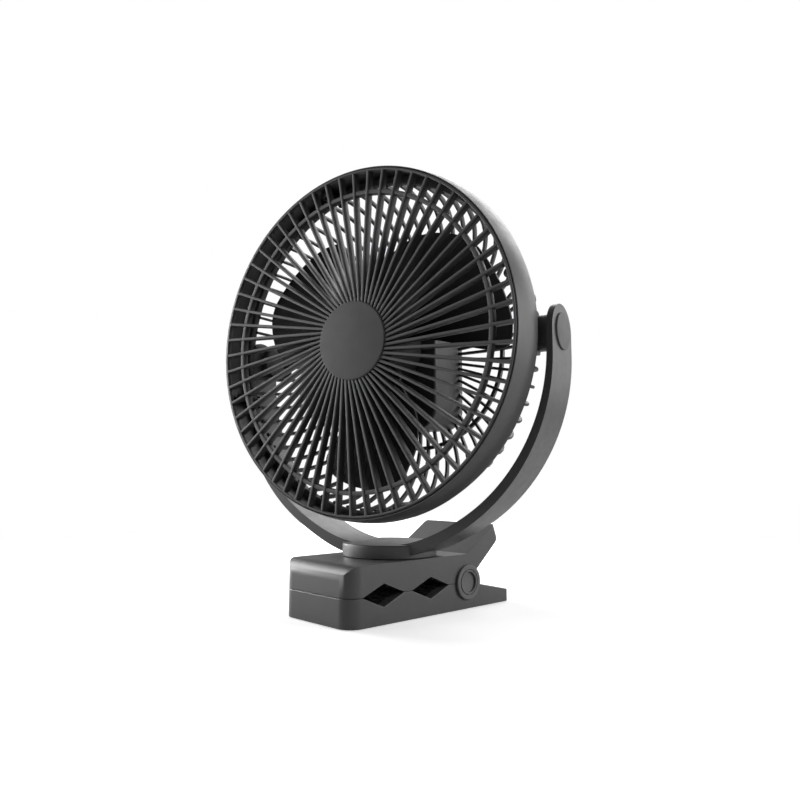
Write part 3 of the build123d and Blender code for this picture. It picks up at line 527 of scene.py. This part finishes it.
makeFrontGrille(frontGrille)
frontCap = {"edges": (0.0002, 0.0006), "segments": 128}


def makeFrontCap(s):
    low, high = localBox("front_cap", headPlace)
    cap = disc("frontCap", high.x, (low.z, high.z), s["edges"], headPlace, s["segments"])
    return dressed(cap, "head", "cap_face", "front_cap")


makeFrontCap(frontCap)
print("front grille made")


# shroud band: a thin lip round the rim, then a wall that swells towards the back
shroudBand = {
    "frontRadius": 0.1025, "lipWidth": 0.0005, "lipEdge": 0.0001, "bulge": 0.0006, "wall": 0.0024,
    "edge": 0.0004, "steps": 14, "segments": 240, "shoulder": 0.037, "bossRadius": 0.0026,
    "bossCircle": 0.0986, "bossTop": 0.034, "bossEdge": 0.0005, "bossSegments": 20, "bossCount": 4,
    "bossStart": 15.8, "webFrom": 0.0999, "webTo": 0.1032, "webWidth": 0.002, "webEdge": 0.0003,
    "paintedShadeFacing": -0.5}


def bossMarks(s, height):
    return circleMarks(s["bossCircle"], s["bossCount"], s["bossStart"], height)


def makeShroud(s):
    low, high = localBox("shroud", headPlace)
    backRadius = high.y

    def wallLine(front, inset):  # the band's wall from the given front to its back
        points = []
        for k in range(s["steps"] + 1):
            z = front + (low.z - front) * k / s["steps"]
            share = (high.z - z) / (high.z - low.z)
            radius = s["frontRadius"] + (backRadius - s["frontRadius"]) * share
            points.append((radius + s["bulge"] * math.sin(math.pi * share) - inset, z, 0))
        return points
    outside, inside = wallLine(high.z, 0), wallLine(s["shoulder"], s["wall"])[::-1]
    lip = s["frontRadius"] - s["lipWidth"]
    outside[-1] = (*outside[-1][:2], s["edge"])
    corners = outside + inside + [(lip, s["shoulder"], 0), (lip, high.z, s["lipEdge"])]
    band = lathe("band", roundCorners(corners, 4), headPlace, s["segments"])
    tall = s["bossTop"] - low.z
    boss = disc("boss", s["bossRadius"], (0, tall), (0, s["bossEdge"]), clipPlace, s["bossSegments"], 3)
    parts = [band, fixings.run("bosses", marksObject(bossMarks(s, low.z)), {
        "Fixing": boss, "Material": paint["casing"]}, headPlace)]
    bpy.data.objects.remove(boss)
    middle = (low.z + s["bossTop"]) / 2
    line = marksObject([(s["webFrom"], 0, middle), (s["webTo"], 0, middle)], [(0, 1)])
    parts.append(bars.run("webs", line, {
        "Count": s["bossCount"], "First angle": math.radians(s["bossStart"]), "Width": s["webWidth"],
        "Depth": tall, "Edge": s["webEdge"], "Bend": 0.0, "Bend steps": 1,
        "Material": paint["casing"]}, headPlace))
    band = dressed(joined("shroudBand", parts), "head", "casing", "shroud")
    band.data.materials.append(paint["inner_plastic"])  # the side towards the blades takes the darker inner finish: painted shade, for the shadow inside the band
    toHead = headPlace.inverted()
    for face in band.data.polygons:
        centre, normal = toHead @ face.center, toHead.to_3x3() @ face.normal
        if centre.xy.normalized().dot(normal.xy) < s["paintedShadeFacing"]:
            face.material_index = 1
    return band


makeShroud(shroudBand)

# rear grille, with the pivot drums and the housing that its ribs carry
rearGrille = {
    "ribCount": 60, "firstAngle": 0.8, "ribWidth": 0.0018, "ribDepth": 0.003, "ribEdge": 0.0006,
    "ribRoot": 0.024, "ribOverlap": 0.001, "bend": 0.0485, "bendSteps": 12, "ribOutside": 0.1003,
    "front": 0.021, "flangeDepth": 0.0045, "flangeInner": 0.0987, "flangeOuter": 0.104,
    "flangeEdges": (0.0004, 0.0004, 0.0002, 0.0002), "flangeSegments": 200,
    "ringRadius": 0.060, "ringWidth": 0.0024, "ringEdge": 0.0004, "ringSegments": 160,
    "padSweep": 12.0, "padBack": -0.013, "padThickness": 0.002, "padCurveSteps": 8, "padSegments": 10,
    "drumRadius": 0.010, "drumInside": 0.094, "drumEdge": 0.0006, "drumSegments": 64,
    "housingWidth": 0.060, "housingHeight": 0.098, "housingCorner": 0.013, "housingFront": -0.005,
    "housingWall": 0.0024, "housingEdge": 0.0016, "cornerSteps": 10, "edgeSteps": 4}


def roundedOutline(width, height, corner, steps, z):
    corners = [(x * width / 2, y * height / 2, corner) for x, y in ((1, -1), (1, 1), (-1, 1), (-1, -1))]
    return [(p.x, p.y, z) for p in roundCorners(corners, steps)]


def housingLoops(s, back):
    def loop(shrink, z):
        return roundedOutline(s["housingWidth"] - 2 * shrink, s["housingHeight"] - 2 * shrink,
                              s["housingCorner"] - shrink, s["cornerSteps"], z)
    wall, edge, front = s["housingWall"], s["housingEdge"], s["housingFront"]
    loops = [loop(wall, front - wall), loop(wall, back), loop(0, back), loop(0, front - edge)]
    for i in range(1, s["edgeSteps"] + 1):
        angle = math.pi / 2 * i / s["edgeSteps"]
        loops.append(loop(edge * (1 - math.cos(angle)), front - edge * (1 - math.sin(angle))))
    return loops


# the plate under a drum follows the ribs' bend, so its section is an arc and then a straight
def padOutline(s, bendRadius, bendHeight, front):
    reach = s["bend"] + s["ribDepth"] / 2
    lowest = math.asin((s["padBack"] - bendHeight) / reach)
    curve = []
    for k in range(s["padCurveSteps"] + 1):
        angle = lowest * (1 - k / s["padCurveSteps"])
        curve.append((bendRadius + reach * math.cos(angle), bendHeight + reach * math.sin(angle)))
    outside = curve + [(s["ribOutside"], front)]
    return outside + [(radius - s["padThickness"], z) for radius, z in reversed(outside)]


def makeRearGrille(s):
    low, high = localBox("rear_grille", headPlace)
    back, drumOut = low.z, high.x
    middle = back + s["ribDepth"] / 2
    side = s["ribOutside"] - s["ribDepth"] / 2
    ribEnd = s["front"] - s["flangeDepth"] + s["ribOverlap"]
    line = marksObject([(s["ribRoot"], 0, middle), (side, 0, middle), (side, 0, ribEnd)], [(0, 1), (1, 2)])
    ribs = bars.run("rearRibs", line, {
        "Count": s["ribCount"], "First angle": math.radians(s["firstAngle"]),
        "Width": s["ribWidth"], "Depth": s["ribDepth"], "Edge": s["ribEdge"], "Bend": s["bend"],
        "Bend steps": s["bendSteps"], "Material": paint["grille"]}, headPlace)
    flange = squareRing("flange", (s["flangeInner"], s["flangeOuter"]),
                        (s["front"] - s["flangeDepth"], s["front"]), s["flangeEdges"], s["flangeSegments"])
    half = s["ringWidth"] / 2
    ring = squareRing("rearRing", (s["ringRadius"] - half, s["ringRadius"] + half),
                      (back, back + s["ribDepth"]), [s["ringEdge"]] * 4, s["ringSegments"])
    outline = padOutline(s, side - s["bend"], middle + s["bend"], ribEnd)
    parts = [ribs, flange, ring]
    for turn, place in zip((0, 180), bothSides(headPlace)):
        start = turn - s["padSweep"] / 2
        parts.append(lathe("pad", outline, headPlace, s["padSegments"], start, s["padSweep"]))
        parts.append(disc("drum", s["drumRadius"], (s["drumInside"], drumOut), [s["drumEdge"]] * 2, place,
                          s["drumSegments"], 3))
    parts.append(skin("housing", housingLoops(s, back), headPlace))
    return dressed(joined("rearGrille", parts), "head", "grille", "rear_grille")


makeRearGrille(rearGrille)
print("shroud and rear grille made")


# screws, each with a cross recess
screwKinds = {
    "cover": {"head": 0.0024, "height": 0.0015, "shank": 0.00125, "length": 0.008, "cross": 0.0026,
              "slot": 0.0006, "depth": 0.0009},
    "rim": {"head": 0.0022, "height": 0.0014, "shank": 0.0012, "length": 0.010, "cross": 0.0024,
            "slot": 0.0006, "depth": 0.0008},
    "motor": {"head": 0.0023, "height": 0.0014, "shank": 0.00125, "length": 0.0035, "cross": 0.0024,
              "slot": 0.0006, "depth": 0.0008}}
screwEdges = {"tip": 0.0003, "seat": 0.0001, "top": 0.0005}
screwSegments = 32


# a screw along the local z axis, head's top at +height, seat at zero
def makeScrew(s):
    corners = [(0, -s["length"], 0), (s["shank"], -s["length"], screwEdges["tip"]), (s["shank"], 0, 0),
               (s["head"], 0, screwEdges["seat"]), (s["head"], s["height"], screwEdges["top"]),
               (0, s["height"], 0)]
    screw = lathe("screw", roundCorners(corners, 3), clipPlace, screwSegments)
    for turn in (0, 90):
        bpy.ops.mesh.primitive_cube_add(size=1)
        bar = bpy.context.active_object
        bar.data.transform(Matrix.Rotation(math.radians(turn), 4, "Z") @ Matrix.Translation(
            (0, 0, s["height"])) @ Matrix.Diagonal((s["cross"], s["slot"], 2 * s["depth"], 1)))
        cut = screw.modifiers.new("cross", "BOOLEAN")
        cut.object = bar
        cut.solver = "EXACT"
        asPlainMesh(screw)
        bpy.data.objects.remove(bar)
    return screw


# one kind of the head's screws, turned over where they are driven in from behind
def placeScrews(name, kind, points, turned, slot, node):
    screw = makeScrew(screwKinds[kind])
    if turned:
        screw.data.transform(Matrix.Rotation(math.pi, 4, "X"))
    made = fixings.run(name, marksObject(points), {"Fixing": screw, "Material": paint[slot]}, headPlace)
    bpy.data.objects.remove(screw)
    return dressed(made, "head", slot, node)


coverScrews = {"across": 0.020, "up": 0.042, "sunk": 0.0002}
seat = localBox("rear_cover", headPlace)[0].z + coverScrews["sunk"] + screwKinds["cover"]["height"]
marks = [(x * coverScrews["across"], y * coverScrews["up"], seat) for x in (-1, 1) for y in (-1, 1)]
placeScrews("coverScrews", "cover", marks, True, "black_screw", "cover_screws")
marks = bossMarks(shroudBand, rearGrille["front"] - rearGrille["flangeDepth"])
placeScrews("rimScrews", "rim", marks, True, "black_screw", "rim_screws")
motorScrews = {"radius": 0.013, "count": 3, "firstAngle": 90, "height": -0.003}
marks = circleMarks(**motorScrews)
placeScrews("motorScrews", "motor", marks, False, "steel", "motor_screws")
print("screws made")

# rear cover and button
rearCover = {"edge": 0.0003}
dressed(softenedCopy("rear_cover", "rearCover", rearCover["edge"]), "head", "casing", "rear_cover")
powerButton = {"radius": 0.007, "flange": 0.0084, "flangeDepth": 0.001, "flangeEdge": 0.0002,
               "edge": 0.0006, "dish": 0.0005, "dishShare": 0.82, "dishSteps": 6, "segments": 64}


def makeButton(s):
    low, high = localBox("power_button", headPlace)
    face, top = low.z, high.z
    corners = []
    for k in range(s["dishSteps"] + 1):
        share = k / s["dishSteps"]
        depth = s["dish"] * math.cos(math.pi / 2 * share)
        corners.append((s["radius"] * s["dishShare"] * share, face + depth, 0))
    corners += [(s["radius"], face, s["edge"]), (s["radius"], top - s["flangeDepth"], 0),
                (s["flange"], top - s["flangeDepth"], s["flangeEdge"]), (s["flange"], top, s["flangeEdge"]),
                (0, top, 0)]
    button = lathe("powerButton", roundCorners(corners, 4), headPlace, s["segments"])
    return dressed(button, "button", "button_face", "power_button")


makeButton(powerButton)
print("cover and button made")

# impeller
impellerPiece = {"edge": 0.00045, "above": 40}
dressed(softenedCopy("impeller", "impellerBlades", impellerPiece["edge"], impellerPiece["above"]), "fan",
        "blade_plastic", "impeller")
print("impeller made")

# yoke: a band of two arcs that are not concentric, round-ended arms, and the swivel pad under it
yokeBand = {
    "outerRadius": 0.1112, "outerCentre": 0.146, "innerRadius": 0.1077, "innerCentre": 0.1486,
    "width": 0.030, "arcRungs": 48, "armRungs": 6, "endRungs": 16, "endReach": 88.5,
    "edge": 0.0008, "edgeSteps": 3, "edgeAbove": 50,
    "outerDip": 0.0024, "innerDip": 0.0013, "dipFrom": 0.056, "dipTo": 0.020, "footGap": 0.0002,
    "padRadius": 0.0284, "padEdges": (0.0003, 0.0009), "padSegments": 160,
    "bossRadius": 0.007, "bossOverlap": 0.001, "bossSegments": 48}


# sections across the band, from arm end to arm end: outer x and z, inner x and z, half width
def yokeRungs(s, lowest):
    rungs = []
    half = s["width"] / 2

    def dip(x):  # how far the bow sinks towards the pad, from 0 to 1
        share = min(max((s["dipFrom"] - x) / (s["dipFrom"] - s["dipTo"]), 0), 1)
        return share * share * (3 - 2 * share)
    for i in range(s["arcRungs"] + 1):
        angle = -math.pi / 2 + math.pi / 2 * i / s["arcRungs"]
        outerX, innerX = s["outerRadius"] * math.cos(angle), s["innerRadius"] * math.cos(angle)
        outerZ = s["outerCentre"] + s["outerRadius"] * math.sin(angle) - s["outerDip"] * dip(outerX)
        innerZ = s["innerCentre"] + s["innerRadius"] * math.sin(angle) - s["innerDip"] * dip(innerX)
        rungs.append((outerX, max(outerZ, lowest), innerX, innerZ, half))
    for i in range(1, s["armRungs"] + 1):
        share = i / s["armRungs"]
        rungs.append((s["outerRadius"], s["outerCentre"] + (pivot.z - s["outerCentre"]) * share,
                      s["innerRadius"], s["innerCentre"] + (pivot.z - s["innerCentre"]) * share, half))
    for i in range(1, s["endRungs"] + 1):
        angle = math.radians(s["endReach"]) * i / s["endRungs"]
        height = pivot.z + half * math.sin(angle)
        rungs.append((s["outerRadius"], height, s["innerRadius"], height, half * math.cos(angle)))
    return [(-r[0], r[1], -r[2], r[3], r[4]) for r in reversed(rungs[1:])] + rungs


def makeYoke(s):
    verts, faces = [], []
    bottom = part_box("swivel_ring")[1].z
    for outerX, outerZ, innerX, innerZ, half in yokeRungs(s, bottom + s["footGap"]):
        verts += [(outerX, -half, outerZ), (outerX, half, outerZ)]
        verts += [(innerX, half, innerZ), (innerX, -half, innerZ)]
    count = len(verts) // 4
    for i in range(count - 1):
        for k in range(4):
            m = (k + 1) % 4
            faces.append((4 * i + k, 4 * i + m, 4 * i + 4 + m, 4 * i + 4 + k))
    faces += [(0, 1, 2, 3), tuple(4 * (count - 1) + k for k in range(4))]
    band = meshObject("band", verts, faces, yokePlace)
    addBevel(band, s["edge"], s["edgeSteps"], s["edgeAbove"]).harden_normals = True
    asPlainMesh(band)
    lowest = localBox("yoke", yokePlace)[0].z
    top = s["innerCentre"] - s["innerRadius"]
    pad = disc("pad", s["padRadius"], (bottom, top), s["padEdges"], yokePlace, s["padSegments"])
    boss = disc("boss", s["bossRadius"], (lowest, bottom + s["bossOverlap"]), (0, 0), yokePlace,
                s["bossSegments"])
    return dressed(joined("yokeBand", [band, pad, boss]), "yoke", "casing", "yoke")


makeYoke(yokeBand)
pivotCap = {"edge": 0.0005, "sunk": 0.0004, "seatDepth": 0.0002, "segments": 96}


def makePivotCaps(s):
    low, high = localBox("pivot_caps", yokePlace)
    radius, heights = (high.z - low.z) / 2, (yokeBand["outerRadius"] - s["seatDepth"], high.x - s["sunk"])
    parts = [disc("cap", radius, heights, (0, s["edge"]), place, s["segments"])
             for place in bothSides(yokePlace @ Matrix.Translation((0, 0, pivot.z)))]
    return dressed(joined("pivotCaps", parts), "yoke", "cap_face", "pivot_caps")


makePivotCaps(pivotCap)
print("yoke made")

# clip
clipJaws = {"edge": 0.0005, "handleEnd": (0.0686, 0.042), "handleLean": -0.409, "handleCorner": 0.0055,
            "cornerSteps": 12, "aside": 0.001, "ahead": 0.04, "above": 0.01}


# a leaning block that holds the upper jaw, whose end cuts the handle to its slant and its round corners
def handleRoom(s):
    low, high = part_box("upper_jaw")
    side, start = high.x, low.y - s["ahead"]
    loops = []
    for z in (low.z - s["above"], high.z + s["above"]):
        end = s["handleEnd"][0] + (z - s["handleEnd"][1]) * s["handleLean"]
        corners = [(side, end, s["handleCorner"]), (-side, end, s["handleCorner"]),
                   (-side - s["aside"], start, 0), (side + s["aside"], start, 0)]
        loops.append([(p.x, p.y, z) for p in roundCorners(corners, s["cornerSteps"])])
    return skin("handleRoom", loops, clipPlace)


dressed(softenedCopy("upper_jaw", "upperJaw", clipJaws["edge"], within=handleRoom(clipJaws)), "clip_lever",
        "casing", "upper_jaw")
dressed(softenedCopy("lower_jaw", "lowerJaw", clipJaws["edge"]), "clip_base", "casing", "lower_jaw")

hingeCap = {
    "inner": 0.0077, "core": 0.0072, "dish": 0.0061, "groove": 0.0009, "recess": 0.0016, "sunk": 0.0009,
    "edge": 0.0006, "grooveEdge": 0.0002, "grooveFloorEdge": 0.0001, "dishEdge": 0.0003, "segments": 96}


def makeHingeCaps(s):
    low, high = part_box("hinge_caps")
    radius = (high.z - low.z) / 2
    centre = (low + high) / 2
    face, seat = high.x - s["sunk"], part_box("lower_jaw")[1].x
    inner, core, dish = s["inner"], s["core"], s["dish"]
    groove, recess = face - s["groove"], face - s["recess"]
    corners = [(0, seat, 0), (radius, seat, 0), (radius, face, s["edge"]), (inner, face, s["grooveEdge"]),
               (inner, groove, s["grooveFloorEdge"]), (core, groove, s["grooveFloorEdge"]),
               (core, face, s["grooveEdge"]), (dish, face, s["dishEdge"]), (dish, recess, s["dishEdge"]),
               (0, recess, 0)]
    parts = [lathe("cap", roundCorners(corners, 4), place, s["segments"])
             for place in bothSides(Matrix.Translation((0, centre.y, centre.z)))]
    return dressed(joined("hingeCaps", parts), "clip_base", "cap_face", "hinge_caps")


makeHingeCaps(hingeCap)

# clip spring: a round wire wound about the pin, whose upper leg follows the handle
clipSpring = {
    "wire": 0.00105, "sides": 16, "coil": 0.0056, "pitch": 0.003, "wholeTurns": 3, "coilSteps": 128,
    "foot": (0.023, -0.01215), "tip": (0.020, 0.02418), "edge": 0.0002, "smoothBelow": 50,
    "blendFrom": -0.93, "blendTo": 0.75}


# the wire's middle line and its directions, from the foot's end round the coil to the tip
def springPath(s, centre):
    def leg(y, z, side):  # the lean and the length of a straight that leaves the coil and ends at y, z
        distance = math.hypot(y, z)
        lean = math.atan2(z, y) + side * math.asin(s["coil"] / distance)
        return lean, math.sqrt(distance ** 2 - s["coil"] ** 2)
    (footLean, footLength), (tipLean, tipLength) = leg(*s["foot"], 1), leg(*s["tip"], -1)
    start, end = footLean - math.pi / 2, tipLean + math.pi / 2
    turned = start - end + 2 * math.pi * (s["wholeTurns"] + 1)
    rise = s["pitch"] / (2 * math.pi)
    points, tangents = [], []
    for i in range(s["coilSteps"] + 1):
        turn = turned * i / s["coilSteps"]
        angle = start - turn
        points.append(centre + Vector((rise * (turn - turned / 2), s["coil"] * math.cos(angle),
                                       s["coil"] * math.sin(angle))))
        tangents.append(Vector((rise / s["coil"], math.sin(angle), -math.cos(angle))).normalized())
    foot, tip = points[0] - tangents[0] * footLength, points[-1] + tangents[-1] * tipLength
    points = [foot, foot + tangents[0] * s["edge"], *points, tip - tangents[-1] * s["edge"], tip]
    return points, [tangents[0]] * 2 + tangents + [tangents[-1]] * 2


def makeSpring(s):
    low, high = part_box("hinge_pin")
    centre = (low + high) / 2
    points, tangents = springPath(s, centre)
    loops = []
    for i, (point, along) in enumerate(zip(points, tangents)):
        side = (Vector((1, 0, 0)) - along * along.x).normalized()
        other = along.cross(side)
        radius = s["wire"] - (s["edge"] if i in (0, len(points) - 1) else 0)
        turns = [2 * math.pi * k / s["sides"] for k in range(s["sides"])]
        loops.append([point + radius * (side * math.cos(a) + other * math.sin(a)) for a in turns])
    wire = skin("clipSpring", loops, clipPlace, s["smoothBelow"])
    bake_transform(wire)
    return dressed(wire, None, "spring_steel", "clip_spring")


makeSpring(clipSpring)
print("clip made")


# camera, floor, lights
camera = {
    "position": (0.317, -0.293, 0.081), "view": (-0.7201, 0.6857, 0.1063), "lens": 31.5, "sensor": 36,
    "nearest": 0.01}


def addCamera(s):
    data = bpy.data.cameras.new("camera")
    data.lens = s["lens"]
    data.sensor_width = s["sensor"]
    data.clip_start = s["nearest"]
    obj = bpy.data.objects.new("camera", data)
    view = Vector(s["view"]).normalized()
    right = view.cross(Vector((0, 0, 1))).normalized()
    turn = Matrix((right, right.cross(view), -view)).transposed().to_4x4()
    obj.matrix_world = Matrix.Translation(s["position"]) @ turn
    bpy.context.scene.collection.objects.link(obj)
    bpy.context.scene.camera = obj


addCamera(camera)

# white paper: it bounces less light than it shows, and glows towards its far side, as in the photo
floor = {
    "size": 1.3, "color": 0.8, "bounced": 0.3, "seen": (0.5, 1.0), "fade": (0.1, 0.32), "roughness": 0.9}


def mathNode(tree, operation, first, second):
    node = tree.nodes.new("ShaderNodeMath")
    node.operation = operation
    tree.links.new(first, node.inputs[0])
    tree.links.new(second, node.inputs[1])
    return node.outputs[0]


def addFloor(s):
    half = s["size"] / 2
    sheet = meshObject("floor", [(-half, -half, 0), (half, -half, 0), (half, half, 0), (-half, half, 0)],
                       [(0, 1, 2, 3)], clipPlace, turnOut=False)
    material, tree, shader = newMaterial("floorPaper")
    shader.inputs["Roughness"].default_value = s["roughness"]
    shader.inputs["Specular IOR Level"].default_value = 0.0
    shader.inputs["Emission Color"].default_value = (1, 1, 1, 1)
    rays = tree.nodes.new("ShaderNodeLightPath")
    shade = tree.nodes.new("ShaderNodeMix")
    shade.data_type = "RGBA"
    for label, value in (("A", s["bounced"]), ("B", s["color"])):
        socket = next(i for i in shade.inputs if i.name == label and i.type == "RGBA")
        socket.default_value = (value, value, value, 1)
    seen = mathNode(tree, "MAXIMUM", rays.outputs["Is Camera Ray"], rays.outputs["Is Glossy Ray"])
    tree.links.new(seen, shade.inputs["Factor"])
    tree.links.new(next(o for o in shade.outputs if o.type == "RGBA"), shader.inputs["Base Color"])
    place = tree.nodes.new("ShaderNodeTexCoord")
    away = tree.nodes.new("ShaderNodeVectorMath")
    away.operation = "LENGTH"
    tree.links.new(place.outputs["Object"], away.inputs[0])
    fade = tree.nodes.new("ShaderNodeMapRange")
    for socket, value in zip(("From Min", "From Max", "To Min", "To Max"), (*s["fade"], *s["seen"])):
        fade.inputs[socket].default_value = value
    tree.links.new(away.outputs["Value"], fade.inputs["Value"])
    glow = mathNode(tree, "MULTIPLY", rays.outputs["Is Camera Ray"], fade.outputs["Result"])
    tree.links.new(glow, shader.inputs["Emission Strength"])
    sheet.data.materials.append(material)


addFloor(floor)

lamps = {
    "front": {"at": (-0.55, -0.85, 0.45), "size": (0.6, 0.6), "watts": 2.8},
    "frontLow": {"at": (-0.8, -0.75, 0.12), "size": (0.5, 0.3), "watts": 1.3},
    "left": {"at": (-1.0, -0.25, 0.35), "size": (0.6, 0.6), "watts": 15.0},
    "leftTop": {"at": (-1.0, 0.1, 0.85), "size": (0.6, 0.6), "watts": 1.2},
    "right": {"at": (0.95, 0.45, 0.4), "size": (0.5, 0.5), "watts": 7.8},
    "back": {"at": (0.45, 1.0, 0.35), "size": (0.6, 0.6), "watts": 1.7},
    "behind": {"at": (-0.35, 1.1, 0.95), "size": (1.2, 0.7), "watts": 9.0}}
lampAim = Vector((0, 0, 0.13))  # the fan's middle

for lampName, lamp in lamps.items():
    data = bpy.data.lights.new(lampName, "AREA")
    data.shape = "RECTANGLE"
    data.size, data.size_y = lamp["size"]
    data.energy = lamp["watts"]
    obj = bpy.data.objects.new(lampName, data)
    obj.location = lamp["at"]
    obj.rotation_euler = (lampAim - Vector(lamp["at"])).to_track_quat("-Z", "Y").to_euler()
    bpy.context.scene.collection.objects.link(obj)

# how strong the white surround is as light, in reflections and to the camera
surround = {"light": 0.04, "glossy": 0.4, "seen": 1.0}


def addSurround(s):
    world = bpy.data.worlds.new("surround")
    bpy.context.scene.world = world
    world.use_nodes = True
    tree = world.node_tree
    rays = tree.nodes.new("ShaderNodeLightPath")

    def levelFor(ray, level):  # gives this level to one kind of ray, and what comes in at A to the others
        pick = tree.nodes.new("ShaderNodeMix")
        pick.data_type = "FLOAT"
        pick.inputs["B"].default_value = level
        tree.links.new(rays.outputs[ray], pick.inputs["Factor"])
        return pick
    reflected, shown = levelFor("Is Glossy Ray", s["glossy"]), levelFor("Is Camera Ray", s["seen"])
    reflected.inputs["A"].default_value = s["light"]
    tree.links.new(reflected.outputs["Result"], shown.inputs["A"])
    background = tree.nodes["Background"]
    background.inputs["Color"].default_value = (1, 1, 1, 1)
    tree.links.new(shown.outputs["Result"], background.inputs["Strength"])


addSurround(surround)
bpy.context.scene.view_settings.view_transform = "Standard"
print("camera, floor and lamps set")
